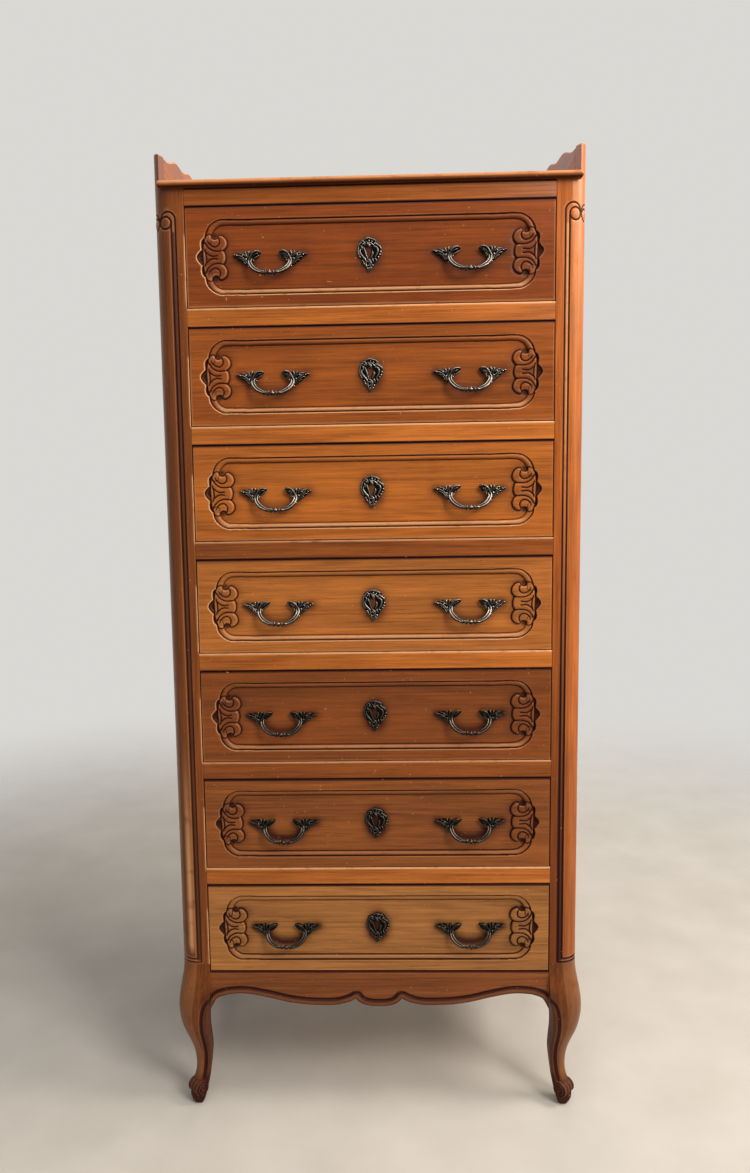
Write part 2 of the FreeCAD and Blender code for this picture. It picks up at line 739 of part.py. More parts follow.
def drawer_front(number):
    name = f"drawer_{number}_front"
    body = new_body(name)
    board = new_sketch(body, "XZ_Plane")
    draw_rectangle(board, f"-{DRAWER_OUTSIDE}", DRAWER_OUTSIDE, "front_end_gap",
                   "opening_height - front_end_gap")
    pad(body, board, "front_board_thickness", backwards=True)

    # the sunk field, and around the carving at each end the ground that it stands on
    pocket(body, rounded_frame(new_sketch(body, "XZ_Plane"), 0), "field_depth")
    ground = new_sketch(body, "XZ_Plane")
    on_both_ends(ground, "leaf_from_end", "leaf_from_middle", "leaf_radius + frame_groove")
    pocket(body, ground, "field_depth")
    ground = new_sketch(body, "XZ_Plane")
    on_both_ends(ground, "bud_from_end", "0", "bud_radius + frame_groove")
    pocket(body, ground, "field_depth")

    # the bead frame and the carved forms, all standing on the ground
    floor = -s.field_depth
    bead = new_sketch(body, "XZ_Plane", floor)
    rounded_frame(bead, s.frame_groove)
    rounded_frame(bead, s.frame_groove + s.bead_width)
    pad(body, bead, "carving_height")
    forms = (("scroll_from_end", "scroll_from_middle", "scroll_radius"),
             ("leaf_from_end", "leaf_from_middle", "leaf_radius"),
             ("tongue_from_end", "0", "tongue_radius"),
             ("bud_from_end", "0", "bud_radius"))
    for from_end, from_middle, radius in forms:
        form = new_sketch(body, "XZ_Plane", floor)
        pad(body, on_both_ends(form, from_end, from_middle, radius), "carving_height")
    line = new_sketch(body, "XZ_Plane", floor + s.carving_height)
    on_both_ends(line, "scroll_from_end", "scroll_from_middle",
                 "scroll_eye_radius + scroll_line_width")
    on_both_ends(line, "scroll_from_end", "scroll_from_middle", "scroll_eye_radius")
    pocket(body, line, "scroll_line_depth")

    # at the back: laps for the sides, a groove for the bottom, holes for the pulls' screws
    laps = new_sketch(body, "XZ_Plane", -s.front_board_thickness)
    draw_rectangle(laps, f"{DRAWER_OUTSIDE} - side_board", f"{DRAWER_OUTSIDE} + 1", "-1",
                   "runner_gap + side_height")
    draw_rectangle(laps, f"-{DRAWER_OUTSIDE} - 1", f"side_board - {DRAWER_OUTSIDE}", "-1",
                   "runner_gap + side_height")
    pocket(body, laps, "lap_depth", backwards=True)
    groove = new_sketch(body, "XZ_Plane", -s.front_board_thickness)
    draw_rectangle(groove, f"side_board - {DRAWER_OUTSIDE} - 1",
                   f"{DRAWER_OUTSIDE} - side_board + 1", "runner_gap + bottom_height",
                   "runner_gap + bottom_height + bottom_thickness")
    pocket(body, groove, "bottom_groove", backwards=True)
    holes = new_sketch(body, "XZ_Plane", -s.front_board_thickness)
    for centre in (f"-{PULL_FROM_MIDDLE}", PULL_FROM_MIDDLE):
        for side in ("-", "+"):
            draw_circle(holes, f"{centre} {side} screw_from_pull_middle",
                        "opening_height / 2 + pull_above_middle - bail_rise",
                        "screw_radius + screw_hole_play")
    pocket(body, holes, "front_board_thickness", backwards=True)
    finish(body, name, opening_bottom(number))


def drawer_box(number):
    name = f"drawer_{number}_box"
    side = new_body(f"drawer_{number}_side")
    outside, inside = drawer_half, drawer_half - s.side_board
    groove = inside + s.bottom_groove
    low = s.runner_gap
    high = low + s.side_height
    floor = low + s.bottom_height
    section = new_sketch(side, "XZ_Plane", s.lap_depth - s.front_board_thickness)
    draw(section, (inside, low), (outside, low), (outside, high), (inside, high),
         (inside, floor + s.bottom_thickness), (groove, floor + s.bottom_thickness),
         (groove, floor), (inside, floor))
    pad(side, section, f"{DRAWER_LENGTH} - front_board_thickness + lap_depth", backwards=True)
    other = mirrored(side, f"drawer_{number}_side_left")
    back = box(f"drawer_{number}_back", f"2 * ({DRAWER_OUTSIDE} - side_board)", "side_board",
               "side_height - bottom_height - bottom_thickness - back_drop",
               f"side_board - {DRAWER_OUTSIDE}", f"{DRAWER_LENGTH} - side_board",
               "runner_gap + bottom_height + bottom_thickness")
    finish(compound(name, [side, other, back]), name, opening_bottom(number))


def drawer_bottom(number):
    board(f"drawer_{number}_bottom",
          (f"2 * ({DRAWER_OUTSIDE} - side_board + bottom_groove)",
           f"{DRAWER_LENGTH} - front_board_thickness + bottom_groove", "bottom_thickness"),
          (f"side_board - bottom_groove - {DRAWER_OUTSIDE}",
           "front_board_thickness - bottom_groove",
           f"{opening_bottom(number)} + runner_gap + bottom_height"))


# ---------------------------------------------------------------- pulls and escutcheon
def tangent_arc(start, heading, end):
    """The arc that leaves start along heading: a point on its way, and its heading at the end."""
    chord = math.atan2(end[1] - start[1], end[0] - start[0])
    turn = chord - heading
    length = math.hypot(end[0] - start[0], end[1] - start[1])
    bulge = length / 2 * math.tan(turn / 2)
    through = ((start[0] + end[0]) / 2 + bulge * math.sin(chord),
               (start[1] + end[1]) / 2 - bulge * math.cos(chord))
    return through, chord + turn


def bail_spine():
    """The line that the bail's bar follows in its own plane, from its right tip to its left tip.

    It is drawn from the middle of the bottom outwards, each arc tangent to the one before.
    """
    w, drop = s.bail_half_width, s.bail_drop
    stations = ((0.5 * w, 1.5 - drop), (w, -0.42 * drop), (w - 5, s.bail_rise - 0.5),
                (s.leaf_inner_tip, s.bail_rise + 1))
    at, heading = (0, -drop), 0
    half_way = []
    for end in stations:
        through, heading = tangent_arc(at, heading, end)
        half_way.append((at, through, end))
        at = end
    right = [(through, begin) for begin, through, end in reversed(half_way)]
    left = [((-through[0], through[1]), (-end[0], end[1])) for begin, through, end in half_way]
    return at, right + left, heading


def pull_casting():
    """One pull about its own middle, on the plane y = 0, standing out towards -Y."""
    start, steps, outward = bail_spine()
    spine = doc.addObject("Sketcher::SketchObject", "bail_spine")
    draw_open(spine, start, steps)
    tilt = math.asin((s.bail_stand_off - s.leaf_plate_thickness) / (s.bail_drop + s.bail_rise))
    upright = FreeCAD.Rotation(FreeCAD.Vector(1, 0, 0), 90 - math.degrees(tilt))
    lean = s.leaf_plate_thickness + s.bail_rise * math.sin(tilt)
    spine.Placement = FreeCAD.Placement(FreeCAD.Vector(0, -lean, 0), upright)

    profile = doc.addObject("Part::Circle", "bail_profile")
    bind(profile, Radius="bail_radius")
    at = upright.multVec(FreeCAD.Vector(*start, 0)) - FreeCAD.Vector(0, lean, 0)
    along = upright.multVec(FreeCAD.Vector(math.cos(outward), math.sin(outward), 0))
    turn = FreeCAD.Rotation(FreeCAD.Vector(0, 0, 1), along)
    profile.Placement = FreeCAD.Placement(at, turn)
    bail = doc.addObject("Part::Sweep", "bail")
    bail.Sections = [profile]
    bail.Spine = (spine, [f"Edge{n + 1}" for n in range(len(steps))])
    bail.Solid = True
    bail.Frenet = True

    knot = new_body("pull_knot")
    spindle = new_sketch(knot, "XZ_Plane")
    draw(spindle, (-s.knot_half_length, 0), ((0, s.knot_radius), (s.knot_half_length, 0)))
    turned = knot.newObject("PartDesign::Revolution", "pull_knot_turned")
    turned.Profile = spindle
    turned.ReferenceAxis = (spindle, ["H_Axis"])
    turned.Angle = 360
    bottom = upright.multVec(FreeCAD.Vector(0, -s.bail_drop, 0)) - FreeCAD.Vector(0, lean, 0)
    knot.Placement = FreeCAD.Placement(bottom, FreeCAD.Rotation())

    leaf = new_body("pull_leaf")
    outline = new_sketch(leaf, "XZ_Plane")
    w, reach = s.bail_half_width, s.leaf_reach
    draw(outline, (reach, 1.5), ((reach - 7, 4.6), (reach - 14, 3)),
         ((reach - 18, 5.8), (w, 3.5)), ((w - 4, 1), (w - 4, -6)),
         ((w - 0.5, -13), (w + 4, -14.5)), ((w + 8, -12), (w + 9.5, -7.5)),
         ((reach - 9, -7), (reach - 7, -2)), ((reach - 3, -1), (reach, 1.5)))
    pad(leaf, outline, "leaf_plate_thickness")
    other_leaf = mirrored(leaf, "pull_leaf_left")
    bosses = [
        cylinder(f"pull_boss_{side}", "boss_radius", BOSS_LENGTH,
                 f"{sign}screw_from_pull_middle", "0", "-bail_rise",
                 FreeCAD.Rotation(FreeCAD.Vector(1, 0, 0), 90))
        for side, sign in (("left", "-"), ("right", ""))
    ]
    whole = fused("pull_whole", [leaf, other_leaf, bail, knot] + bosses)
    bores = fused("pull_bores", [
        cylinder(f"pull_bore_{side}", "screw_radius + screw_play",
                 "screw_bite + 2 * bore_end_gap", f"{sign}screw_from_pull_middle",
                 "bore_end_gap", "-bail_rise",
                 FreeCAD.Rotation(FreeCAD.Vector(1, 0, 0), 90))
        for side, sign in (("left", "-"), ("right", ""))
    ])
    casting = doc.addObject("Part::Cut", "pull_casting")
    casting.Base = whole
    casting.Tool = bores
    return casting


def draw_open(sketch, start, steps):
    """An open line of arcs, each given by a point to pass through and its end."""
    at = FreeCAD.Vector(*start, 0)
    for through, end in steps:
        end = FreeCAD.Vector(*end, 0)
        sketch.addGeometry(Part.Arc(at, FreeCAD.Vector(*through, 0), end), False)
        at = end


def pull_screw():
    """A screw along Y: its head stands behind the front board, its point in the casting."""
    shank_length = s.front_board_thickness - s.field_depth + s.screw_bite
    shank = Part.makeCylinder(s.screw_radius, shank_length, FreeCAD.Vector(0, -s.screw_bite, 0),
                              FreeCAD.Vector(0, 1, 0))
    head = Part.makeCylinder(s.screw_head_radius, s.screw_head_height,
                             FreeCAD.Vector(0, s.front_board_thickness - s.field_depth, 0),
                             FreeCAD.Vector(0, 1, 0))
    return shank.fuse(head).removeSplitter()


def drawer_pulls(number, casting, screw):
    """Both pulls of one drawer and their screws: copies of one casting and one screw."""
    level = s.opening_height / 2 + s.pull_above_middle
    solids = []
    for side in (-1, 1):
        middle = side * (drawer_half - s.pull_from_end)
        pull = casting.Shape.copy()
        pull.translate(FreeCAD.Vector(middle, s.field_depth, level))
        solids += pull.Solids
        for end in (-1, 1):
            one = screw.copy()
            one.translate(FreeCAD.Vector(middle + end * s.screw_from_pull_middle,
                                         s.field_depth, level - s.bail_rise))
            solids += one.Solids
    name = f"drawer_{number}_pulls"
    obj = doc.addObject("Part::Feature", name)
    obj.Shape = Part.makeCompound(solids)
    finish(obj, name, opening_bottom(number))


def escutcheon_outline(inset):
    """Half outline of the shield, bottom point to top: lobes of a rocaille border."""
    w = s.escutcheon_width / 2 - inset
    z = s.escutcheon_height / 2 - inset
    return (0, -z), [((0.13 * w, -0.80 * z), (0.42 * w, -0.68 * z)),
                     ((0.66 * w, -0.56 * z), (0.52 * w, -0.38 * z)),
                     ((0.84 * w, -0.30 * z), (0.88 * w, -0.06 * z)),
                     ((1.06 * w, 0.08 * z), (0.90 * w, 0.26 * z)),
                     ((0.92 * w, 0.50 * z), (0.60 * w, 0.56 * z)),
                     ((0.64 * w, 0.84 * z), (0.34 * w, 0.86 * z)),
                     ((0.20 * w, 0.98 * z), (0, z))]


def draw_shield(sketch, inset):
    start, right = escutcheon_outline(inset)
    ends = [start] + [step[1] for step in right]
    left = [((-step[0][0], step[0][1]), (-end[0], end[1]))
            for step, end in zip(reversed(right), reversed(ends[:-1]))]
    draw(sketch, start, *right, *left)


def escutcheon(number):
    name = f"drawer_{number}_escutcheon"
    body = new_body(name)
    plate = new_sketch(body, "XZ_Plane")
    draw_shield(plate, 0)
    w, z = s.escutcheon_opening_width / 2, s.escutcheon_opening_height / 2
    draw(plate, (0, -z), ((0.9 * w, -0.3 * z), (w, 0.4 * z)), ((0.7 * w, 0.9 * z), (0, z)),
         ((-0.7 * w, 0.9 * z), (-w, 0.4 * z)), ((-0.9 * w, -0.3 * z), (0, -z)))
    pad(body, plate, "escutcheon_thickness")
    body.Label = name
    place(body, "0", f"field_depth + {SHIFT}", f"{opening_bottom(number)} + opening_height / 2")
    pieces.append(body)


# ---------------------------------------------------------------- build, check and write
front_post()
back_post()
front_leg()
back_leg()
leg_dowels()
front_apron()
side_apron()
rails()
runners()
side_panels()
case_back()
top_board()
gallery()
casting = pull_casting()
doc.recompute()
screw = pull_screw()
for number in range(1, DRAWERS + 1):
    drawer_front(number)
    drawer_box(number)
    drawer_bottom(number)
    drawer_pulls(number, casting, screw)
    escutcheon(number)
doc.recompute()

for obj in doc.Objects:
    if "Invalid" in obj.State or "Error" in obj.State:
        raise RuntimeError(f"{obj.Label} failed: {obj.State}")
    if obj.TypeId == "PartDesign::Pocket":
        if obj.Shape.Volume >= obj.BaseFeature.Shape.Volume:
            raise RuntimeError(f"{obj.Label} cuts nothing")
for piece in pieces:
    if piece.Shape.isNull() or not piece.Shape.isValid() or piece.Shape.Volume <= 0:
        raise RuntimeError(f"{piece.Label} has no valid shape")

os.makedirs("parts", exist_ok=True)
for piece in pieces:
    piece.Shape.exportStep(os.path.join("parts", f"{piece.Label}.step"))
print(len(pieces), "pieces")
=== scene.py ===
import math

import bmesh
import bpy
import numpy as np
from mathutils import Matrix, Vector


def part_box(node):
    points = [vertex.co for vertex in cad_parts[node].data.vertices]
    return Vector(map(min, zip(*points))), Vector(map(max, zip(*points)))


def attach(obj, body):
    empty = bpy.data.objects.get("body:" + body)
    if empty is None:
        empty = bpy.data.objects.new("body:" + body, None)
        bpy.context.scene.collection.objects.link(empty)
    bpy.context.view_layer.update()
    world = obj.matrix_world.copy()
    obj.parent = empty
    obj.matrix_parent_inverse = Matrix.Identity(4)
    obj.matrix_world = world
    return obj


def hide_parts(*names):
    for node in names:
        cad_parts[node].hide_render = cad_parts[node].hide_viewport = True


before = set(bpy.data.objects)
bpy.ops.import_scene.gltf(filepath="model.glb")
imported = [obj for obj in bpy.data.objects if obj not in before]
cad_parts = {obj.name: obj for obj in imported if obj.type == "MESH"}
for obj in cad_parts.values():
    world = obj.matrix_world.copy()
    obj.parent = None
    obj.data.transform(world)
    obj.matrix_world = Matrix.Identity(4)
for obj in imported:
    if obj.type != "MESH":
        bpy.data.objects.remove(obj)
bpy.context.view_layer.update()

# Every piece is drawn in millimetres: x to the right of the middle, y into the depth from the
# plane of the case front, z up from the floor. meshed() takes it to the frame, in metres.
MM = 0.001
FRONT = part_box("top_rail")[0].y
TO_FRAME = Matrix.Translation((0, FRONT, 0)) @ Matrix.Scale(MM, 4)

DRAWERS = range(1, 8)
# the castings on the upper four are painted brighter, with painted glints; on the lower three
# darker, in painted shade
LIT_DRAWERS = range(1, 5)


def reach_of(node, axis):
    """Lowest and highest value of a CAD node along one axis, in millimetres."""
    low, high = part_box(node)
    start = FRONT if axis == 1 else 0
    return (low[axis] - start) / MM, (high[axis] - start) / MM


INNER, CASE_HALF = reach_of("front_post_right", 0)
POST_DEPTH = reach_of("front_post_right", 1)[1]
CORNER_RADIUS = 25
LEG_TOP = reach_of("front_leg_right", 2)[1]
CASE_TOP = reach_of("top_rail", 2)[1]
CASE_DEPTH = reach_of("back_post_right", 1)[1]
TOP = reach_of("top_board", 2)[1]
# thickness of the top rail and the front apron
BOARD = reach_of("top_rail", 1)[1]
# thickness of the ears and the gallery, and how far an ear's tip and back stand above the case
EAR = 9.5
EAR_TIP, EAR_BACK = 50.5, 57
LOWEST_OPENING = reach_of("front_apron", 2)[1]
OPENING_HEIGHT = 139
PITCH = reach_of("drawer_6_front", 2)[0] - reach_of("drawer_7_front", 2)[0]


def opening_low(drawer):
    """Height of the bottom of a drawer's opening."""
    return LOWEST_OPENING + (DRAWERS[-1] - drawer) * PITCH


# ---------------------------------------------------------------- camera, light and floor
def linear(colour):
    """A hex sRGB colour as linear red, green, blue and alpha."""
    parts = [int(colour[n:n + 2], 16) / 255 for n in (1, 3, 5)]
    return [c / 12.92 if c <= 0.04045 else ((c + 0.055) / 1.055) ** 2.4 for c in parts] + [1.0]


def add_node(tree, kind, inputs=None, stops=(), **settings):
    """Add one node: its settings, its ramp stops, and its inputs as values, nodes or sockets."""
    new = tree.nodes.new(kind)
    for name, value in settings.items():
        setattr(new, name, value)
    if stops:
        for stop, (position, colour) in zip(new.color_ramp.elements, stops):
            stop.position, stop.color = position, linear(colour)
    for name, value in (inputs or {}).items():
        if isinstance(value, bpy.types.Node):
            value = next(socket for socket in value.outputs if socket.enabled)
        if isinstance(value, bpy.types.NodeSocket):
            tree.links.new(value, new.inputs[name])
        else:
            new.inputs[name].default_value = value
    return new


def calculate(tree, operation, *values):
    return add_node(tree, "ShaderNodeMath", dict(enumerate(values)), operation=operation)


def noise(tree, place, scale, detail, roughness=0.5):
    return add_node(tree, "ShaderNodeTexNoise", {"Vector": place, "Scale": scale,
                                                 "Detail": detail, "Roughness": roughness})


def spread(tree, value, low, high, start=0.0, end=1.0, **settings):
    """A value between low and high as a value between start and end."""
    return add_node(tree, "ShaderNodeMapRange", {
        "Value": value, "From Min": low, "From Max": high, "To Min": start, "To Max": end},
        **settings)


def laid_over(tree, share, under, colour):
    """A hex colour laid over another colour by a share."""
    return add_node(tree, "ShaderNodeMix", {0: share, 6: under, 7: linear(colour)},
                    data_type="RGBA")


camera = bpy.data.objects.new("camera", bpy.data.cameras.new("camera"))
bpy.context.scene.collection.objects.link(camera)
camera.location = (-0.0024, FRONT - 1.2786, 0.960)
camera.rotation_euler = [math.radians(angle) for angle in (83.666, 0.896, 1.464)]
camera.data.sensor_width = 36
camera.data.lens = 27.04
camera.data.shift_x = 0.0228
bpy.context.scene.camera = camera
bpy.context.scene.view_settings.view_transform = "Standard"


def softbox(name, place, aim, size, watts, colour):
    """A square light that faces a point."""
    lamp = bpy.data.lights.new(name, "AREA")
    lamp.shape, lamp.size, lamp.energy, lamp.color = "SQUARE", size, watts, linear(colour)[:3]
    obj = bpy.data.objects.new(name, lamp)
    obj.location = place
    obj.rotation_euler = (Vector(aim) - Vector(place)).to_track_quat("-Z", "Y").to_euler()
    bpy.context.scene.collection.objects.link(obj)


softbox("key softbox", (1.9, -2.2, 2.6), (0, 0, 0.9), 1.1, 68, "#fff5ea")
softbox("side softbox", (1.9, -0.35, 2.15), (0.3, 0, 1.2), 0.9, 42, "#fff3e4")
softbox("fill softbox", (-2.2, -2.6, 1.3), (0, 0, 0.8), 2.0, 3, "#fffaf2")
softbox("back softbox", (0.4, 3.2, 0.9), (0, 0, 0.8), 1.8, 34, "#fffaf4")
softbox("top softbox", (0.2, -0.9, 3.0), (0, 0, 0.6), 2.0, 34, "#fff9f2")

# Camera, glossy and transmission rays see the bright backdrop, all others the dimmer room.
world = bpy.data.worlds.new("pale studio")
bpy.context.scene.world = world
world.use_nodes = True
tree = world.node_tree
tree.nodes.clear()
path = add_node(tree, "ShaderNodeLightPath").outputs
seen = calculate(tree, "MAXIMUM", path["Is Camera Ray"], path["Is Glossy Ray"])
seen = calculate(tree, "MAXIMUM", seen, path["Is Transmission Ray"])
room = add_node(tree, "ShaderNodeBackground", {"Color": linear("#cbc9c6"), "Strength": 0.27})
backdrop = add_node(tree, "ShaderNodeBackground", {"Color": linear("#dad8d4"), "Strength": 1.0})
sky = add_node(tree, "ShaderNodeMixShader", {0: seen, 1: room, 2: backdrop})
add_node(tree, "ShaderNodeOutputWorld", {"Surface": sky})


def new_material(name):
    """An empty material, its node tree and the Object coordinates in it."""
    material = bpy.data.materials.new(name)
    material.use_nodes = True
    tree = material.node_tree
    tree.nodes.clear()
    return material, tree, add_node(tree, "ShaderNodeTexCoord").outputs["Object"]


# A painted concrete floor, faintly mottled, that fades into the backdrop away from the chest.
floor_paint, tree, place = new_material("floor, pale painted concrete")
tint = add_node(tree, "ShaderNodeValToRGB", {"Fac": noise(tree, place, 7, 6)},
                [(0.3, "#c3c0b9"), (0.75, "#d0cdc7")])
paint = add_node(tree, "ShaderNodeBsdfPrincipled", {"Base Color": tint, "Roughness": 0.75})
reach = add_node(tree, "ShaderNodeVectorMath", {0: place}, operation="LENGTH")
fade = spread(tree, reach, 0.9, 2.6, interpolation_type="SMOOTHSTEP")
clear = add_node(tree, "ShaderNodeBsdfTransparent")
surface = add_node(tree, "ShaderNodeMixShader", {0: fade, 1: paint, 2: clear})
add_node(tree, "ShaderNodeOutputMaterial", {"Surface": surface})

bm = bmesh.new()
bmesh.ops.create_grid(bm, x_segments=1, y_segments=1, size=3.0)
floor_mesh = bpy.data.meshes.new("floor")
bm.to_mesh(floor_mesh)
bm.free()
floor_mesh.materials.append(floor_paint)
floor = bpy.data.objects.new("floor", floor_mesh)
bpy.context.scene.collection.objects.link(floor)


# ---------------------------------------------------------------- materials
def surfaced(tree, relief, strength, distance, values):
    """Close a material: its fine relief, its shader and its output."""
    bump = add_node(tree, "ShaderNodeBump", {"Height": relief, "Strength": strength,
                                             "Distance": distance})
    shader = add_node(tree, "ShaderNodeBsdfPrincipled", {**values, "Normal": bump})
    add_node(tree, "ShaderNodeOutputMaterial", {"Surface": shader})


def wood(name, light, dark, along, figure=1.0, polish=0.32, sheen_coat=0.06, shift=0.0,
         rub=1.0, wax=1.0):
    """Planed wood with its grain along one axis: growth rings, fibres, pores and blotches.

    The carving's point attributes come on top: glaze darkens a groove, with painted shade in
    hollows, creases and gaps; wear rubs an arris pale, with painted highlights where light falls.
    """
    material, tree, place = new_material(name)

    def drawn_out(share, moved):
        """Coordinates stretched along the grain and moved, so that no two boards are alike."""
        scale = [share if axis == along else 1.0 for axis in "XYZ"]
        return add_node(tree, "ShaderNodeMapping", {"Vector": place, "Scale": scale,
                                                    "Location": moved})

    wide = drawn_out(0.10, (shift, 0.37 * shift, shift))
    fine = drawn_out(0.025, (0.3 * shift, shift, shift))
    # growth rings: contour lines of a slow noise, about 6 mm apart across the board
    rings = calculate(tree, "MULTIPLY", noise(tree, wide, 14, 2.0, 0.35), 75.0)
    rings = calculate(tree, "SINE", rings)
    # fibres 1 to 3 mm wide, drawn out along the grain
    fibre = noise(tree, fine, 330, 5.0, 0.62)
    # the stain took unevenly: blotches 40 to 120 mm across, longer along the grain
    blotch = noise(tree, wide, 17, 4.0, 0.55)
    tone = calculate(tree, "MULTIPLY_ADD", rings, 0.055 * figure, fibre)
    tone = calculate(tree, "MULTIPLY_ADD", blotch, 0.9 * figure, tone)
    tone = spread(tree, tone, 0.5 + 0.45 * figure - 0.26, 0.5 + 0.45 * figure + 0.24)
    body = add_node(tree, "ShaderNodeValToRGB", {"Fac": tone}, [(0.0, dark), (1.0, light)])
    # pores: short dark dashes 0.4 mm wide
    pore = spread(tree, noise(tree, fine, 1250, 1.0), 0.60, 0.72, 0, 0.38)
    colour = laid_over(tree, pore, body, "#2a0f05")
    # wear and painted highlights on the arrises, missing here and there for 20 mm or so
    rubbed = add_node(tree, "ShaderNodeAttribute", attribute_name="wear_and_highlight").outputs["Fac"]
    patch = spread(tree, noise(tree, place, 38, 6.0, 0.66), 0.22, 0.46)
    rubbed = calculate(tree, "MULTIPLY", calculate(tree, "MULTIPLY", rubbed, patch), rub)
    colour = laid_over(tree, rubbed, colour, "#e2a674")
    # dark glaze wiped off the high parts and left in every groove, with painted shade in hollows,
    # creases and gaps
    glaze_and_shade = add_node(tree, "ShaderNodeAttribute", attribute_name="glaze_and_shade").outputs["Fac"]
    glaze_and_shade = calculate(tree, "MULTIPLY", glaze_and_shade, wax)
    colour = laid_over(tree, glaze_and_shade, colour, "#330d04")
    # small dings and rubs that show pale wood, 1 to 2 mm
    ding = spread(tree, noise(tree, place, 210, 2.0), 0.73, 0.76, 0, 0.6)
    colour = laid_over(tree, ding, colour, "#c98e5c")
    rough = spread(tree, blotch, 0.3, 0.7, polish - 0.05, polish + 0.08)
    # matt where the glaze and the painted shade lie
    rough = add_node(tree, "ShaderNodeMix", {0: glaze_and_shade, 2: rough, 3: 0.85}, data_type="FLOAT")
    surfaced(tree, fibre, 0.22, 0.0006, {
        "Base Color": colour, "Roughness": rough, "IOR": 1.5, "Specular IOR Level": 0.2,
        "Coat Weight": sheen_coat, "Coat Roughness": 0.18})
    return material


def brass(name, patina, metal, polish, crest=5.0):
    """Cast brass, patinated nearly black, rubbed back to the metal on its high parts; the bright
    metal there is also a painted highlight.
    """
    material, tree, place = new_material(name)
    grit = noise(tree, place, 900, 4.0)
    rubbed = add_node(tree, "ShaderNodeAttribute", attribute_name="wear_and_highlight").outputs["Fac"]
    rub = spread(tree, grit, 0.3, 0.62, 0.2)
    rub = calculate(tree, "MULTIPLY", rub, calculate(tree, "POWER", rubbed, crest))
    surfaced(tree, grit, 0.25, 0.0003, {
        "Base Color": laid_over(tree, rub, linear(patina), metal), "Metallic": 0.9,
        "Roughness": spread(tree, grit, 0, 1, polish, polish + 0.2)})
    return material


def cherry(where, light, dark, along, **touch):
    """Cherry, stained red brown and waxed to a low gloss: warm, a soft figure and few pores."""
    return wood(f"cherry, stained and waxed, {where}", light, dark, along, **touch)


def oak(name, light, dark, along):
    """Planed secondary wood inside the case, unfinished: pale, dry and matt."""
    return wood(name, light, dark, along, polish=0.7, sheen_coat=0.0)


# Each drawer's tone is painted light and shade, lighter or darker as patches of light and shade
# fall across the front, the lowest one the palest. The last value scales the painted highlights
# and wear on the arrises; the lower it is, the deeper the painted shade and glaze.
FRONT_TONE_AND_LIGHT = {1: ("#984b17", "#6b320c", 1.0), 2: ("#ac5c21", "#7a3f14", 1.0),
               3: ("#c9732d", "#8f501c", 1.0), 4: ("#c97a37", "#905525", 1.0),
               5: ("#975121", "#6b3915", 0.6), 6: ("#a65f2a", "#77421d", 0.25),
               7: ("#c38244", "#8c5b2f", 0.25)}
front_wood = {n: cherry(f"drawer {n}", light, dark, "X", shift=0.31 * n, rub=rubbed,
                        wax=1.6 - 0.5 * rubbed)
              for n, (light, dark, rubbed) in FRONT_TONE_AND_LIGHT.items()}
rail_wood = cherry("rails", "#d07b33", "#975019", "X", figure=1.1)
top_wood = cherry("top", "#b26426", "#804010", "X", figure=1.1, shift=3.1)
# the dividers above drawers 4 and 6 are a darker copy of the rail cherry, painted in shade
shaded_rail_wood = cherry("darker rails", "#a35a24", "#733a12", "X", figure=1.1, shift=2.3, rub=0.6)
apron_wood = cherry("apron", "#96562a", "#6a3514", "X", shift=1.7)
# lit and shaded copies of one cherry: the right posts painted in light, the left posts painted in
# shade
lit_right_post_wood = cherry("posts on the right", "#c86d2a", "#8b4512", "Z")
shaded_left_post_wood = cherry("posts on the left", "#8f4d1d", "#60300c", "Z", shift=1.1)
leg_wood = cherry("legs", "#814419", "#55290a", "Z", shift=0.6)
side_wood = cherry("sides", "#ac632b", "#7d4015", "Z", shift=0.8)
# the right gallery side a lighter copy of the gallery cherry, painted in light
lit_right_gallery_wood = cherry("right gallery side", "#d27a3c", "#a35a2b", "Y")
depth_wood = cherry("gallery sides", "#b0662f", "#804216", "Y", shift=0.5)
inner_wood = oak("oak, planed and unfinished", "#c9a677", "#a98252", "Y")
inner_cross = oak("oak, planed and unfinished, across", "#c6a274", "#a67f50", "X")
back_wood = oak("oak, planed and unfinished, upright", "#bd9868", "#9a7446", "Z")
# Lit and shaded copies of one brass: on the lower three it is painted darker, in shade, with only
# a dull gleam on the crests.
lit_pulls = brass("brass, cast and patinated", "#0a0807", "#cfc2b5", 0.15)
shaded_pulls = brass("brass, cast and patinated, shaded copy", "#0a0807", "#85796c", 0.24)
pull_metal = {n: lit_pulls if n in LIT_DRAWERS else shaded_pulls for n in DRAWERS}
# On the escutcheons broader crests show the bright metal, as painted highlights.
lit_keyholes = brass("brass, cast and patinated, keyholes", "#0c0a08", "#d6cabd", 0.2, 2.8)
shaded_keyholes = brass("brass, cast and patinated, lower keyholes", "#0c0a08", "#8f8376", 0.26,
                       2.8)
escutcheon_metal = {n: lit_keyholes if n in LIT_DRAWERS else shaded_keyholes for n in DRAWERS}


# ---------------------------------------------------------------- drawing helpers
# the first attribute holds dark glaze and painted shade, the second rubbed arrises and painted
# highlights
CARVING = ("glaze_and_shade", "wear_and_highlight")
PLANED_ARRIS, CARVED_ARRIS = 34, 50


def blank():
    """An empty shape with the two point attributes of the carving."""
    bm = bmesh.new()
    for name in CARVING:
        bm.verts.layers.float.new(name)
    return bm


def marks_of(bm):
    """The layers of glaze and painted shade, and of wear and painted highlights."""
    return [bm.verts.layers.float[name] for name in CARVING]


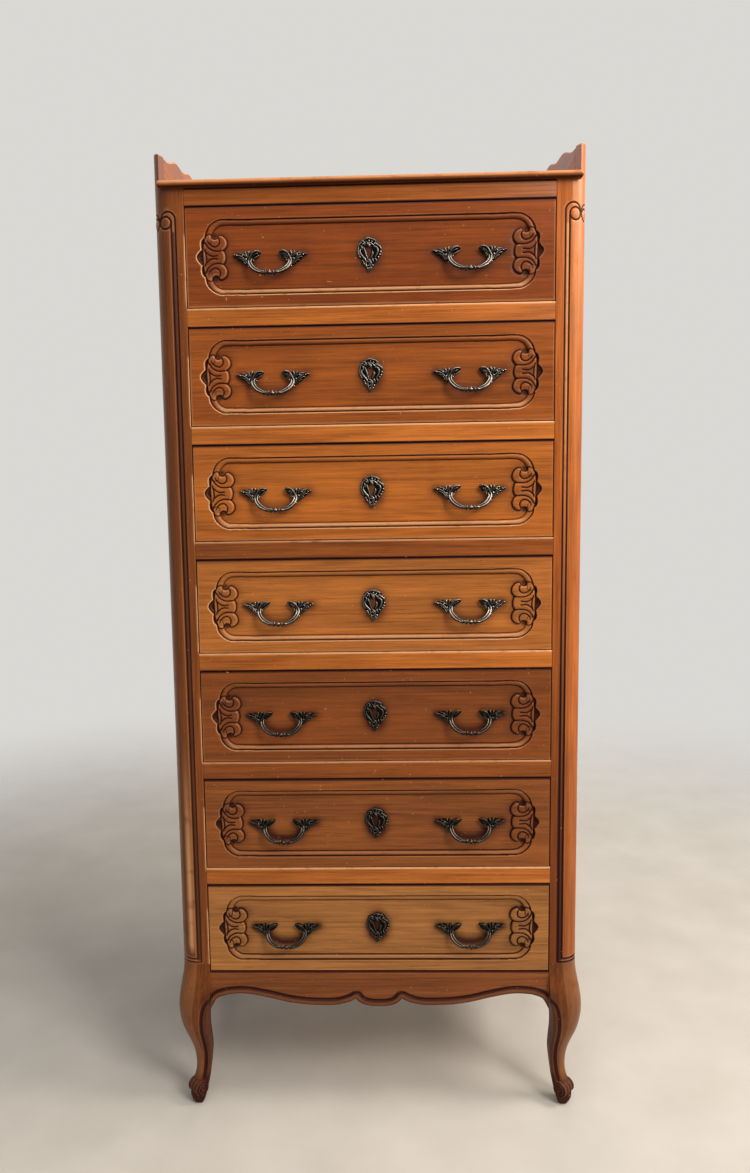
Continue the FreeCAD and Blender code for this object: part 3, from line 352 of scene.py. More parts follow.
def meshed(name, bm, arris=CARVED_ARRIS):
    """A drawn shape as a mesh in metres, smooth but for arrises sharper than so many degrees."""
    bmesh.ops.transform(bm, matrix=TO_FRAME, verts=bm.verts[:])
    for face in bm.faces:
        face.smooth = True
    for edge in bm.edges:
        edge.smooth = not (edge.is_manifold and edge.calc_face_angle(0) > math.radians(arris))
    mesh = bpy.data.meshes.new(name)
    bm.to_mesh(mesh)
    bm.free()
    return mesh


def standing(name, mesh, body, material, nodes):
    """Stand a mesh in the scene as a piece of a body, in place of its CAD nodes."""
    for one in material if isinstance(material, list) else [material]:
        mesh.materials.append(one)
    obj = bpy.data.objects.new(name, mesh)
    bpy.context.scene.collection.objects.link(obj)
    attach(obj, body)
    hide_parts(*nodes)


def on_case(name, bm, material, nodes):
    """Make a drawn shape a piece of the case."""
    standing(name, meshed(name, bm, PLANED_ARRIS), "case", material, nodes)


def on_drawers(mesh, piece, node, material):
    """Put a mesh drawn above the bottom of an opening on every drawer."""
    for n in DRAWERS:
        copy = mesh.copy()
        copy.transform(Matrix.Translation((0, 0, opening_low(n) * MM)))
        standing(f"{piece}_{n}", copy, f"drawer_{n}", material[n], [f"drawer_{n}_{node}"])
    bpy.data.meshes.remove(mesh)


def shaped_grid(columns, rows, form):
    """A flat grid whose points are moved to form(u, v), with u and v counted in grid steps.

    form gives x, y, z, glaze with painted shade, and wear with painted highlights.
    """
    bm = blank()
    bmesh.ops.create_grid(bm, x_segments=columns, y_segments=rows, size=0.5)
    flat = (np.array([vert.co[:2] for vert in bm.verts]) + 0.5) * (columns, rows)
    marks = marks_of(bm)
    for vert, (x, y, z, *values) in zip(bm.verts, zip(*form(*np.rint(flat).astype(int).T))):
        vert.co = (x, y, z)
        for mark, value in zip(marks, values):
            vert[mark] = value
    return bm


def backed(bm, depth):
    """Carry the rim of a carved face straight back and close it with a flat back."""
    rim = bmesh.ops.extrude_edge_only(bm, edges=[e for e in bm.edges if e.is_boundary])["geom"]
    marks = marks_of(bm)
    for item in rim:
        if isinstance(item, bmesh.types.BMVert):
            item.co.y = depth
            for mark in marks:
                item[mark] = 0
    bmesh.ops.contextual_create(bm, geom=[e for e in rim if isinstance(e, bmesh.types.BMEdge)])


def wrapped(rings, glaze_and_shade=0.0, wear_and_highlight=0.0):
    """A closed form from rings of points, rings[i, j] = (x, y, z), with its ends filled."""
    rings = np.asarray(rings)
    count, around = rings.shape[:2]
    marks = [np.broadcast_to(unit(mark), (count, around)) for mark in (glaze_and_shade, wear_and_highlight)]

    def form(u, v):
        j = v % around
        return (*rings[u, j].T, *(mark[u, j] for mark in marks))

    bm = shaped_grid(count - 1, around, form)
    bmesh.ops.remove_doubles(bm, verts=bm.verts[:], dist=1e-4)
    open_edges = [edge for edge in bm.edges if edge.is_boundary]
    if open_edges:
        bmesh.ops.holes_fill(bm, edges=open_edges, sides=0)
    bmesh.ops.recalc_face_normals(bm, faces=bm.faces[:])
    return bm


def joined(shapes):
    """Several drawn shapes in one."""
    whole = blank()
    for shape in shapes:
        mesh = bpy.data.meshes.new("part")
        shape.to_mesh(mesh)
        shape.free()
        whole.from_mesh(mesh)
        bpy.data.meshes.remove(mesh)
    return whole


def mirrored(bm):
    """The same shape on the left."""
    bmesh.ops.scale(bm, vec=(-1, 1, 1), verts=bm.verts[:])
    bmesh.ops.reverse_faces(bm, faces=bm.faces[:])
    return bm


def soft_board(low, high, radius):
    """A planed board between two corners, its arrises taken off."""
    bm = blank()
    size = [b - a for a, b in zip(low, high)]
    middle = [(b + a) / 2 for a, b in zip(low, high)]
    bmesh.ops.create_cube(bm, size=1.0,
                          matrix=Matrix.Translation(middle) @ Matrix.Diagonal((*size, 1)))
    bmesh.ops.bevel(bm, geom=bm.edges[:], offset=radius, segments=3, profile=0.5,
                    affect="EDGES", material=-1)
    wear_and_highlight = marks_of(bm)[1]
    for vert in bm.verts:
        inside = min(min(c - a, b - c) for c, a, b in zip(vert.co, low, high))
        vert[wear_and_highlight] = 1.0 if inside > 0.02 else 0
    return bm


def smooth_line(points, steps=6, closed=False):
    """A curve through the points, as a finer list of points (Catmull-Rom)."""
    p = np.array(points, float)
    if closed:
        p = np.vstack([p[-1], p, p[0], p[1]])
    else:
        p = np.vstack([2 * p[0] - p[1], p, 2 * p[-1] - p[-2]])
    t = np.linspace(0, 1, steps, endpoint=False)[:, None]
    spans = [0.5 * (2 * b + (c - a) * t + (2 * a - 5 * b + 4 * c - d) * t ** 2
                    + (3 * b - a - 3 * c + d) * t ** 3)
             for a, b, c, d in zip(p, p[1:], p[2:], p[3:])]
    line = np.vstack(spans)
    return line if closed else np.vstack([line, p[-2]])


def distance(x, z, line, closed=False):
    """Distance of each point from a line of straight pieces."""
    best = np.full(x.shape, 1e9)
    ends = np.roll(line, -1, axis=0) if closed else line[1:]
    for (x0, z0), (x1, z1) in zip(line, ends):
        dx, dz = x1 - x0, z1 - z0
        t = unit(((x - x0) * dx + (z - z0) * dz) / (dx * dx + dz * dz + 1e-12))
        best = np.minimum(best, np.hypot(x - x0 - t * dx, z - z0 - t * dz))
    return best


def signed(x, z, line):
    """Distance from a closed outline, negative inside it."""
    within = np.zeros(x.shape, bool)
    for (x0, z0), (x1, z1) in zip(line, np.roll(line, -1, axis=0)):
        if z0 != z1:
            crosses = (z0 > z) != (z1 > z)
            within ^= crosses & (x < x0 + (z - z0) * (x1 - x0) / (z1 - z0))
    return np.where(within, -1, 1) * distance(x, z, line, closed=True)


def unit(value):
    """A value held between 0 and 1."""
    return np.clip(value, 0, 1)


def ease(value):
    """0 to 1 with soft ends."""
    t = unit(value)
    return t * t * (3 - 2 * t)


def quarter(value):
    """A quarter round: steep at 0, level at 1."""
    return np.sqrt(1 - (1 - unit(value)) ** 2)


def bell(value, width):
    """1 at 0, fading on both sides within about a width."""
    return np.exp(-(value / width) ** 2)


def strongest(*marks):
    """The strongest of several marks at each point."""
    return np.maximum.reduce(marks)


def arc(centre, radius, start, end, steps):
    """Points on a circle from one angle to another, in degrees."""
    angles = np.radians(np.linspace(start, end, steps))
    return np.column_stack([centre[0] + radius * np.cos(angles),
                            centre[1] + radius * np.sin(angles)])


# ---------------------------------------------------------------- drawer fronts
# The carving at the ends of a front. A point is (u, v): u inwards from the front's end, v from its
# middle line. The upper half is drawn; the lower half and the other end mirror it.
FRONT_HALF = 258.8
# height of its lower and upper edge in the opening
FRONT_LOW, FRONT_HIGH = 1, 138
# depth of the sunk field, and the middle of its round corner
FIELD_DEPTH = 4.0
CORNER = (53.7, 25.3)
SUNK_EDGE = np.vstack([
    smooth_line([(22.2, -10.6), (19.4, -7.6), (16.6, -4), (15.3, 0), (16.6, 4), (19.4, 7.6),
                 (22.2, 10.6)]),
    smooth_line([(22, 13), (21.4, 17.5), (22.2, 22.5), (25, 26.2)]),
    np.column_stack([CORNER[0] - 27.2 * np.cos(np.radians(np.linspace(2, 90, 24))),
                     CORNER[1] + 26.3 * np.sin(np.radians(np.linspace(2, 90, 24)))]),
    [(320, 51.6), (320, -30), (22.2, -30)]])
# the middle line of the bead, then the outline of the cartouche and the lines cut in it
BEAD_LINE = np.vstack([[(320, 47.4)], arc(CORNER, 22.1, 90, 180, 20), [(31.5, 23)]])
PLATE_EDGE = np.vstack([
    [(24.2, -12), (24, 0), (24.1, 9), (24.5, 17), (25.6, 23.4)],
    smooth_line([(27.4, 26.4), (29.5, 29.5), (33.5, 31.4), (35.9, 30.6), (36.4, 28),
                 (38.2, 25.9), (41, 25.2), (43.8, 25.8), (45.4, 27.4)]),
    smooth_line([(46, 29), (47.8, 30), (50.6, 29.6), (54.2, 27.6), (57, 24),
                 (58, 19.8), (57.3, 15.6), (55, 12.2), (52.4, 9.9)]),
    smooth_line([(54.4, 7.4), (55.7, 3.8), (56, 0), (55.7, -3.8), (54.4, -7.4)]),
    [(52, -12)]])
SCROLL_LINE = smooth_line([(46.4, 26), (47.7, 21.4), (45.9, 16.9), (41.8, 14.7), (36.6, 16),
                           (32.6, 19.4), (31.2, 22.6)])
LOBE_LINE = smooth_line([(52.6, 9.4), (49, 9), (44, 8.7), (38, 9.8), (31.9, 13.3),
                         (26.4, 20.6)])
WAIST_LINE = smooth_line([(44.2, 2.5), (37.2, 2.1), (32.4, 3.8), (27.2, 8.4)])
BAR_LINE = smooth_line([(26.6, 11.2), (28.3, 5.6), (28.8, 0), (28.3, -5.6)])
# the deepest spot beside the cartouche, and the hollow at the middle of an end
POCKET, HOLLOW = (40.6, 29.9), (24.6, 11.2)
# how far in the cartouche and the unevenness of the cutter's hand reach
END_REACH, HAND_REACH = 66, 90
# Where the middle of a pull sits on its front, and from there the line along which dirt and a
# painted shadow gather.
PULL_X, PULL_Z = 140, OPENING_HEIGHT / 2 + 2
DIRT_AND_SHADOW_LINE = [(48, -1), (32, -7), (22, -20), (8, -26), (-8, -26), (-22, -20), (-32, -7), (-48, -1)]
# Thickness of a front at its lapped ends, and where its thicker middle ends at the side and
# starts to run right across.
LAP, LAP_X, LAP_Z = 10, 246.8, 112.3
# stands for any distance out of the reach of a cut line
FAR = 50.0


def carved_face(x, z):
    """Depth below the face of a drawer front at each point, with its glaze and painted shade, and
    its wear and painted highlights.
    """
    v0 = z - (FRONT_LOW + FRONT_HIGH) / 2
    # the cutter's hand: no two corners are quite alike
    u = FRONT_HALF - np.abs(x) + 0.28 * np.sin(0.13 * v0 + 0.05 * x) + 0.15 * np.sin(0.31 * v0)
    v = np.abs(v0) + 0.28 * np.sin(0.11 * x + 0.04 * v0) + 0.12 * np.sin(0.37 * x + 1)
    uneven = u < HAND_REACH
    u, v = np.where(uneven, u, FRONT_HALF - np.abs(x)), np.where(uneven, v, np.abs(v0))
    sunk = signed(u, v, SUNK_EDGE)
    bead_width = 3.25 + 0.9 * ease((64 - u) / 28)
    bead = distance(u, v, BEAD_LINE) / bead_width
    end = u < END_REACH
    plate, cuts = np.full(u.shape, FAR), np.full(u.shape, FAR)
    plate[end] = signed(u[end], v[end], PLATE_EDGE)
    for line in (SCROLL_LINE, LOBE_LINE, WAIST_LINE, BAR_LINE):
        cuts[end] = np.minimum(cuts[end], distance(u[end], v[end], line))
    pocket = np.hypot(u - POCKET[0], v - POCKET[1])
    beside = np.maximum(plate, 0)
    on_plate, off_plate, in_field, on_bead = plate < 0, plate > 0, sunk < 0, bead < 1

    ground = FIELD_DEPTH + 0.8 * bell(beside, 3.5)
    ground = ground + 1.2 * bell(pocket, 4.0)
    depth = ground + 0.5 * bell((bead - 1.12) * bead_width, 0.6)
    arch = np.sqrt(1 - unit(bead) ** 2)
    depth = np.where(on_bead, np.minimum(depth, 0.45 + 3.6 * (1 - arch)), depth)
    relief = 0.55 + 3.5 * (1 - quarter(-plate / 2.9)) + on_plate * 0.55 * bell(cuts, 2.2)
    relief = relief + (plate < -0.2) * 1.5 * unit(1 - cuts / 1.05)
    depth = np.where(on_plate, np.minimum(depth, relief), depth)
    # the hollow at the middle of each end is a scoop, deepest beside the plate
    hollow = (u < HOLLOW[0]) & (v < HOLLOW[1]) & off_plate
    scoop = 4.6 * np.sin(np.pi / 2 * unit(-sunk / 5.2))
    depth = np.where(hollow, scoop, depth * ease(-sunk / 0.9))
    depth = np.where(sunk > 0, 0.35 * unit(1 - sunk / 0.9) ** 2, depth)
    edge = np.minimum(FRONT_HALF - np.abs(x), np.minimum(z - FRONT_LOW, FRONT_HIGH - z))
    depth = depth + 1.1 * (1 - quarter(edge / 1.3))

    # painted highlights: the lower run of the bead, the edge under it, the left end and the
    # front's left and lower edges catch the light; the rest is wear
    lower = ease((-v0 - 30) / 14) * ease((u - 30) / 20)
    lit_left_end = ease((-x - 190) / 30) * ease((36 - v0) / 16)
    lit_edges = np.maximum(ease((-x - 250) / 6) * ease((60 - v0) / 70), ease((-v0 - 62) / 5))
    wear_and_highlight = strongest(
        on_bead * (0.06 + 0.94 * lower) * unit(1.15 - bead / 0.9),
        on_plate * (0.2 + 0.25 * lit_left_end) * bell(-plate - 1.9, 1.0),
        ((sunk > -0.3) & (sunk < 1.3)) * (0.15 + 0.8 * np.maximum(lit_left_end, lower)),
        (0.25 + 0.6 * lit_edges) * unit(1.2 - edge / 1.6))
    # dirt and a painted shadow round the castings; painted shade along the outer edges, most in
    # the gap at the top
    dirt_and_shadow = bell(np.clip(np.hypot(x / 17, v0 / 24) - 0.75, 0, 9), 0.42)
    for side in (-1, 1):
        line = np.array([(side * PULL_X + out, PULL_Z + up) for out, up in DIRT_AND_SHADOW_LINE])
        dirt_and_shadow = np.maximum(dirt_and_shadow, bell(distance(x, z, line), 8.5))
    groove = (sunk < 0.1) & (bead > 0.86) & (sunk > -2.6) & (plate > -0.2)
    foot = np.abs(bead - 1.1) * bead_width
    # glaze in the cut lines and the groove; painted shade in the pocket, the hollow, at the foot
    # of the bead, in a soft band round the plate and in the gaps at the edges
    glaze_and_shade = strongest(
        on_plate * unit(1.3 - cuts / 1.35),
        groove * 0.95 * ease(-sunk / 0.5 + 0.2),
        (in_field & off_plate) * unit(1.6 - plate / 1.5),
        off_plate * 0.8 * bell(pocket, 4.4),
        hollow * 0.9 * ease(-sunk / 4.5),
        0.14 * (on_plate | on_bead),
        in_field * 0.8 * bell(foot, 0.8),
        (in_field & ~on_bead & off_plate) * 0.34 * np.exp(-beside / 6),
        on_plate * 0.9 * unit(1 + plate / 0.8),
        unit(1.3 - (FRONT_HIGH - z) / 2.0),
        0.5 * unit(1 - edge / 1.3),
        in_field * 0.66 * dirt_and_shadow)
    return depth, unit(glaze_and_shade), unit(wear_and_highlight)


def drawer_front():
    """A carved drawer front above z = 0 of its own opening, lapped at the back for the sides."""
    edge = [0, 0.35, 0.8, 1.4]
    half = np.concatenate([edge, np.arange(2.6, 14, 2.2), np.arange(14.4, 62, 0.6)])
    half = np.concatenate([half, np.linspace(half[-1] + 3, FRONT_HALF, 34)])
    xs = np.concatenate([half - FRONT_HALF, (FRONT_HALF - half[:-1])[::-1]])
    low = np.concatenate([edge, np.arange(3.4, 14, 2.6), np.arange(15.2, 68.5, 0.6)])
    zs = np.concatenate([low, (FRONT_HIGH - FRONT_LOW - low)[::-1]]) + FRONT_LOW

    def form(i, j):
        depth, glaze_and_shade, wear_and_highlight = carved_face(xs[i], zs[j])
        return xs[i], depth, zs[j], glaze_and_shade, wear_and_highlight

    bm = shaped_grid(len(xs) - 1, len(zs) - 1, form)
    backed(bm, LAP)

    def back_faces():
        return [face for face in bm.faces if all(abs(v.co.y - LAP) < 1e-3 for v in face.verts)]

    for at, normal in (((LAP_X, 0, 0), (1, 0, 0)), ((-LAP_X, 0, 0), (1, 0, 0)),
                       ((0, 0, LAP_Z), (0, 0, 1))):
        geom = {item for face in back_faces() for item in (face, *face.edges, *face.verts)}
        bmesh.ops.bisect_plane(bm, geom=list(geom), plane_co=at, plane_no=normal, dist=1e-5)
    middles = [(face, face.calc_center_median()) for face in back_faces()]
    thick = [face for face, middle in middles if abs(middle.x) < LAP_X or middle.z > LAP_Z]
    moved = bmesh.ops.extrude_face_region(bm, geom=thick)["geom"]
    bmesh.ops.translate(bm, vec=(0, LAP, 0),
                        verts=[item for item in moved if isinstance(item, bmesh.types.BMVert)])
    bmesh.ops.recalc_face_normals(bm, faces=bm.faces[:])
    return bm


on_drawers(meshed("drawer_front", drawer_front()), "carved_front", "front", front_wood)

# ---------------------------------------------------------------- posts
# Plan of a front post along its outside, from its inner front edge round the corner to its back
# outer edge. Along is the distance walked on that line.
FRONT_FLAT = CASE_HALF - CORNER_RADIUS - INNER
ROUND = math.pi / 2 * CORNER_RADIUS
SIDE_FLAT = POST_DEPTH - CORNER_RADIUS
OUTSIDE = FRONT_FLAT + ROUND + SIDE_FLAT
# A reed runs up the post between two cut lines and ends in a scroll round an eye. Its foot lies
# this far above the leg; the top of the scroll is counted from the eye.
REED = (12.6, 18.4)
EYE = (26.8, CASE_TOP - 46.0)
EYE_RADIUS = 8.4
REED_FOOT = (2.2, 7.6)
SCROLL_TOP = [(12.6, 0), (13, 7), (16.6, 12.4), (22.6, 14.8), (29.2, 13.6), (33.6, 9.4),
              (35.6, 4), (35.3, -1.5)]


def post_plan(along):
    """x, y and the outward normal on a front post at a distance along its outside."""
    turn = np.clip((along - FRONT_FLAT) / CORNER_RADIUS, 0, math.pi / 2)
    x = INNER + np.minimum(along, FRONT_FLAT) + CORNER_RADIUS * np.sin(turn)
    y = CORNER_RADIUS * (1 - np.cos(turn)) + np.maximum(along - FRONT_FLAT - ROUND, 0)
    return x, y, np.sin(turn), -np.cos(turn)


def reed_lines():
    """The cut lines of a reed, up from the foot of the post to the scroll at its top."""
    outer_foot, inner_foot = (LEG_TOP + rise for rise in REED_FOOT)
    middle = OUTSIDE / 2
    outer = np.vstack([[(middle, outer_foot), (REED[0], outer_foot), (REED[0], EYE[1])],
                       smooth_line([(along, EYE[1] + up) for along, up in SCROLL_TOP])])
    inner = np.array([(middle, inner_foot), (REED[1], inner_foot), (REED[1], EYE[1])])
    return outer, inner, arc(EYE, EYE_RADIUS, 0, 360, 40)


def post_relief(along, z, side):
    """Depth, glaze with painted shade, and wear with painted light of the carving on a front post.
    """
    near = np.minimum(along, OUTSIDE - along)
    gap = np.full(along.shape, FAR)
    for line in reed_lines():
        gap = np.minimum(gap, distance(near, z, line))
    near_eye = np.hypot(near - EYE[0], z - EYE[1])
    depth = 1.5 * unit(1 - gap / 1.6) + 0.3 * bell(gap, 2.4)
    depth = depth - 0.7 * quarter(1 - near_eye / 6.4)
    # the cut lines hold glaze; their darkness and width change with side and height as painted
    # shade
    glaze_and_shade = unit(1.5 + 0.45 * side * ease((950 - z) / 500) - gap / (1.3 - 0.15 * side))
    reed = (near > REED[0]) & (near < REED[1]) & (z > LEG_TOP + 5) & (z < CASE_TOP - 60)
    # painted shade fills the reed, deep on the left post and light on the right, fading out higher
    # up on the right where painted light falls
    lit_higher_up = (side > 0) * ease((z - 700) / 400)
    glaze_and_shade = np.maximum(glaze_and_shade, (0.55 - 0.25 * side) * reed * (1 - lit_higher_up))
    wear_and_highlight = 0.30 * bell(gap - 2.3, 0.7) + 0.5 * (side > 0) * reed * ease((z - 800) / 400)
    return depth, glaze_and_shade, wear_and_highlight


def post_body(side):
    """The carved outside of a front post with its plain back and inner face."""
    alongs = np.concatenate([[0, 0.5, 1.2], np.arange(3, 11, 2), np.arange(11, 20.2, 0.45),
                             np.arange(20.5, OUTSIDE / 2, 0.9)])
    alongs = np.concatenate([alongs, (OUTSIDE - alongs)[::-1]])
    levels = np.concatenate([
        [LEG_TOP], LEG_TOP + np.arange(0.5, 11, 0.5), np.arange(LEG_TOP + 14, EYE[1] - 14, 7),
        np.arange(EYE[1] - 12, EYE[1] + 18, 0.6), np.linspace(EYE[1] + 22, CASE_TOP, 3)])
    x, y, nx, ny = post_plan(alongs)
    edge = np.minimum(alongs, OUTSIDE - alongs)
    back = np.linspace(CASE_HALF - 0.7, INNER + 0.7, 5)
    inner = np.linspace(POST_DEPTH - 0.7, 4, 3)
    rings, glaze_and_shade, wear_and_highlight = [], [], []
    for z in levels:
        depth, dark, pale = post_relief(alongs, np.full(len(alongs), z), side)
        depth = depth + 0.7 * (1 - quarter(edge / 0.9))
        plan = [*zip(x - nx * depth, y - ny * depth), *((b, POST_DEPTH) for b in back),
                *((INNER, b) for b in inner)]
        rings.append([(*point, z) for point in plan])
        # a painted highlight on the left post's inner arris beside the lower part of each drawer
        beside_drawer = (z - LOWEST_OPENING) % PITCH < 0.7 * OPENING_HEIGHT
        arris = 0.1 if side > 0 or not beside_drawer else 0.9
        pale = pale + arris * np.clip(1.6 - edge, 0, 1)
        if side < 0:
            streak = bell(alongs - 27, 4.5) * ease((620 - z) / 260)
            pale += 0.95 * streak * ease((z - LEG_TOP - 12) / 20)
            pale += 0.28 * bell(alongs - 44, 5)
        else:
            pale += 0.12 * bell(alongs - 30, 6)
            # painted light on the right post higher up, painted shade towards the floor
            pale += 0.16 * ease((z - 900) / 400) * ease((alongs - 20) / 10)
            dark = dark + 0.3 * ease((800 - z) / 600)
            dark += 0.35 * ease((1000 - z) / 600) * (alongs < REED[1])
        plain = np.zeros(len(back) + len(inner))
        glaze_and_shade.append(np.append(dark, plain))
        wear_and_highlight.append(np.append(pale, plain))
    return wrapped(rings, glaze_and_shade, wear_and_highlight)


def post_ear():
    """The outer strip of the post, carried up to a rounded tip beside the top board."""
    ear_in = CASE_HALF - EAR
    on_arc = math.asin((ear_in - (CASE_HALF - CORNER_RADIUS)) / CORNER_RADIUS)
    walk = np.concatenate([FRONT_FLAT + CORNER_RADIUS * np.linspace(on_arc, math.pi / 2, 22),
                           [FRONT_FLAT + ROUND + SIDE_FLAT * 0.6, OUTSIDE]])
    outline = np.vstack([np.column_stack(post_plan(walk)[:2]),
                         [(CASE_HALF - 5, POST_DEPTH), (ear_in, POST_DEPTH), (ear_in, 30),
                          (ear_in, 20), (ear_in, 12)]])
    middle = np.array([CASE_HALF - EAR / 2, 24])
    away = np.maximum(np.hypot(*(outline - middle).T), 1)[:, None]
    y = outline[:, 1]
    rise = np.where(y < 12, EAR_TIP - 6 * (1 - quarter((y - 3) / 9)),
                    EAR_TIP + (EAR_BACK - EAR_TIP) * (y - 12) / (POST_DEPTH - 12))
    rings, pale = [], []
    for share, shrink in [(s, 0) for s in np.linspace(0, 0.96, 46)] + \
            [(0.985, 0.25), (0.996, 0.8), (1.0, 1.7), (1.0, 3.2)]:
        flat = outline + (middle - outline) * shrink / away
        rings.append(np.column_stack([flat, CASE_TOP + share * rise]))
        pale.append(np.full(len(outline), 0.6 if 0 < shrink < 2 else 0.05))
    return wrapped(rings, wear_and_highlight=pale)


on_case("front_post_carved_right", joined([post_body(1), post_ear()]), lit_right_post_wood,
        ["front_post_right"])
on_case("front_post_carved_left", mirrored(joined([post_body(-1), post_ear()])), shaded_left_post_wood,
        ["front_post_left"])


# ---------------------------------------------------------------- legs
# The cabriole curve from the floor up: height, where the outer and the inner side stand to the
# side, and how far the front stands before the case.
LEG = np.array([(0, 292.5, 280, -7.5), (5, 295.5, 277.4, -5.5), (12, 298, 274.6, -3.5),
                (20, 298.6, 272.8, -3), (29, 297.2, 271, -4.5), (38, 293.8, 269.4, -8),
                (46, 291.6, 268.4, -11), (56, 290.4, 267.2, -12.8), (66, 290.6, 266, -12.2),
                (77, 291.6, 265, -11), (88, 293.8, 264.8, -8.8), (98, 296.6, 265.4, -6),
                (109, 300.3, 266.2, -2), (120, 304, 266.9, 2.4), (133, 307.9, 267, 6.4),
                (147, 310.5, 266.2, 9.3), (160, 311.8, 264.8, 10.8), (172, 311.8, 262.6, 11.2),
                (184, 310.6, 260.6, 10.2), (196, 308.6, 260, 7.8), (208, 306.4, 260, 4.6),
                (218, 304.9, 260, 2), (228, 304.1, 260, 0.4), (236, 304, 260, 0)])
LEG_LINE = smooth_line([(188, 248), (182, 260), (175, 267.4), (165, 272.2), (150, 274.8),
                        (132, 275.6), (114, 275), (96, 273.6), (78, 273), (60, 274.4),
                        (40, 277.2)])
# From this height up the back of a leg lies no deeper than the post.
POST_MEETS = 157
SIDE_POINTS, CORNER_POINTS = 40, 20


def leg_ring(z, outer, inner, forward):
    """A square with one large round corner, as points round it: front, corner, side, back."""
    thick = outer - inner
    big = np.interp(z, [0, 30, 60, 200, 236], [6, 10, 0.5 * thick, 0.55 * thick, CORNER_RADIUS])
    small = np.interp(z, [0, 60, 150, 200, 236], [2.5, 3.2, 2.6, 1.0, 0.7])
    front, back = -forward, thick - forward
    if z > POST_MEETS:
        back = min(back, POST_DEPTH)
    side = np.linspace(0, 1, SIDE_POINTS)[:, None]
    corner = np.linspace(0, math.pi / 2, CORNER_POINTS + 2)[1:-1, None]
    little = np.linspace(0, math.pi / 2, 7)[1:-1, None]
    out, over = small * np.sin(little), small * np.cos(little)

    def run(a, b, share=side[::8]):
        return np.array(a) + (np.array(b) - np.array(a)) * share

    return np.vstack([
        run((inner + small, front), (outer - big, front), side),
        np.hstack([outer - big + big * np.sin(corner), front + big - big * np.cos(corner)]),
        run((outer, front + big), (outer, back - small), side[::6]),
        np.hstack([outer - small + over, back - small + out]),
        run((outer - small, back), (inner + small, back)),
        np.hstack([inner + small - out, back - small + over]),
        run((inner, back - small), (inner, front + small)),
        np.hstack([inner + small - over, front + small - out])])


def leg_shaft():
    """A cabriole leg with a line cut beside its inner edge."""
    curve = smooth_line(LEG, 5)
    curve = curve[np.argsort(curve[:, 0], kind="stable")]
    rings, dark, pale = [], [], []
    for z in np.unique(np.concatenate([np.arange(0, LEG_TOP, 2.0), [0.6, LEG_TOP]])):
        outer, inner, forward = (np.interp(z, curve[:, 0], curve[:, k]) for k in (1, 2, 3))
        ring = leg_ring(z, outer, inner, forward)
        if z < 1:
            centre = ring.mean(axis=0)
            ring = centre + (ring - centre) * (0.94 if z == 0 else 0.985)
        gap = distance(np.full(len(ring), z), ring[:, 0], LEG_LINE)
        facing = unit(1 - (ring[:, 1] + forward) / 4.0)
        cut = facing * unit(1.6 - gap / 2.1)
        rings.append([(x, y + inward, z) for (x, y), inward in zip(ring, 1.7 * cut)])
        # painted shade on the narrow strip beside the inner edge; the foot darker below 54 mm
        shaded_strip = ease((275 - ring[:, 0]) / 3) * ease((215 - z) / 30) * ease((215 - z) / 30)
        dark.append(unit(cut * 1.3) + 0.5 * shaded_strip + 0.9 * ease((54 - z) / 24))
        round_part = np.zeros(len(ring))
        round_part[SIDE_POINTS:SIDE_POINTS + CORNER_POINTS] = 1
        pale.append(0.12 * round_part + 0.1 * facing * bell(gap - 3.2, 1.2))
    return wrapped(rings, dark, pale)


# The roll of the foot lies across the line that points outwards: its middle, its axis, the way
# it points, and its outline from one end to the other as length along the axis and radius.
ROLL_MIDDLE = np.array([286.8, 12.2, 26.0])
ROLL_AXIS = np.array([math.sqrt(0.5), math.sqrt(0.5), 0])
ROLL_POINT = np.array([math.sqrt(0.5), -math.sqrt(0.5), 0])
ROLL_HALF = 12.8
ROLL_OUTLINE = [(-ROLL_HALF, 0), (-ROLL_HALF, 0.6)] + \
    [(-ROLL_HALF, r) for r in np.arange(1.2, 9.8, 0.5)] + \
    [(-12.5, 10.4), (-11.6, 11.2), (-9.2, 11.6), (-7, 11.2), (-5.6, 10.2), (-4.2, 11.2),
     (-2.2, 11.6), (0, 11.2), (1.4, 10.2), (2.8, 11.2), (5, 11.6), (7.2, 11.2), (8.6, 10.2),
     (10, 11.2), (11.6, 11.2), (12.5, 10.4)] + \
    [(ROLL_HALF, r) for r in np.arange(9.8, 1.1, -0.5)] + [(ROLL_HALF, 0.6), (ROLL_HALF, 0)]


def foot_roll():
    """The scroll of the foot, with a spiral cut in each end."""
    turns = np.linspace(0, 2 * math.pi, 56, endpoint=False)
    sweep = (turns + math.pi * 0.35) / (2 * math.pi)
    rings, dark, pale = [], [], []
    for length, radius in ROLL_OUTLINE:
        groove = np.zeros(len(turns))
        if abs(length) >= 12.5 and radius > 1.4:
            for turn in (0, 1, 2):
                spiral = 2.8 + 4.1 * (sweep + turn - 0.6)
                groove = np.maximum(groove, unit(1.25 - np.abs(radius - spiral)))
        dome = 1.6 * (1 - (radius / 12) ** 2) if abs(length) >= 11.5 else 0
        along = length + math.copysign(1, length) * (dome - 1.7 * groove)
        rings.append(ROLL_MIDDLE + along[:, None] * ROLL_AXIS
                     + radius * np.cos(turns)[:, None] * ROLL_POINT
                     + radius * np.sin(turns)[:, None] * np.array([0, 0, 1]))
        # painted shade in the valleys and the spiral cuts over a dark glaze on the whole roll; the
        # ridges paler with wear and a painted highlight
        valley = abs(length) < 12 and radius < 10.5
        dark.append(groove + (1.0 if valley else 0.72))
        pale.append((0.22 if radius > 11 else 0.12) * (1 - groove))
    return wrapped(rings, dark, pale)


on_case("front_leg_scrolled_right", joined([leg_shaft(), foot_roll()]), leg_wood,
        ["front_leg_right"])
on_case("front_leg_scrolled_left", mirrored(joined([leg_shaft(), foot_roll()])), leg_wood,
        ["front_leg_left"])


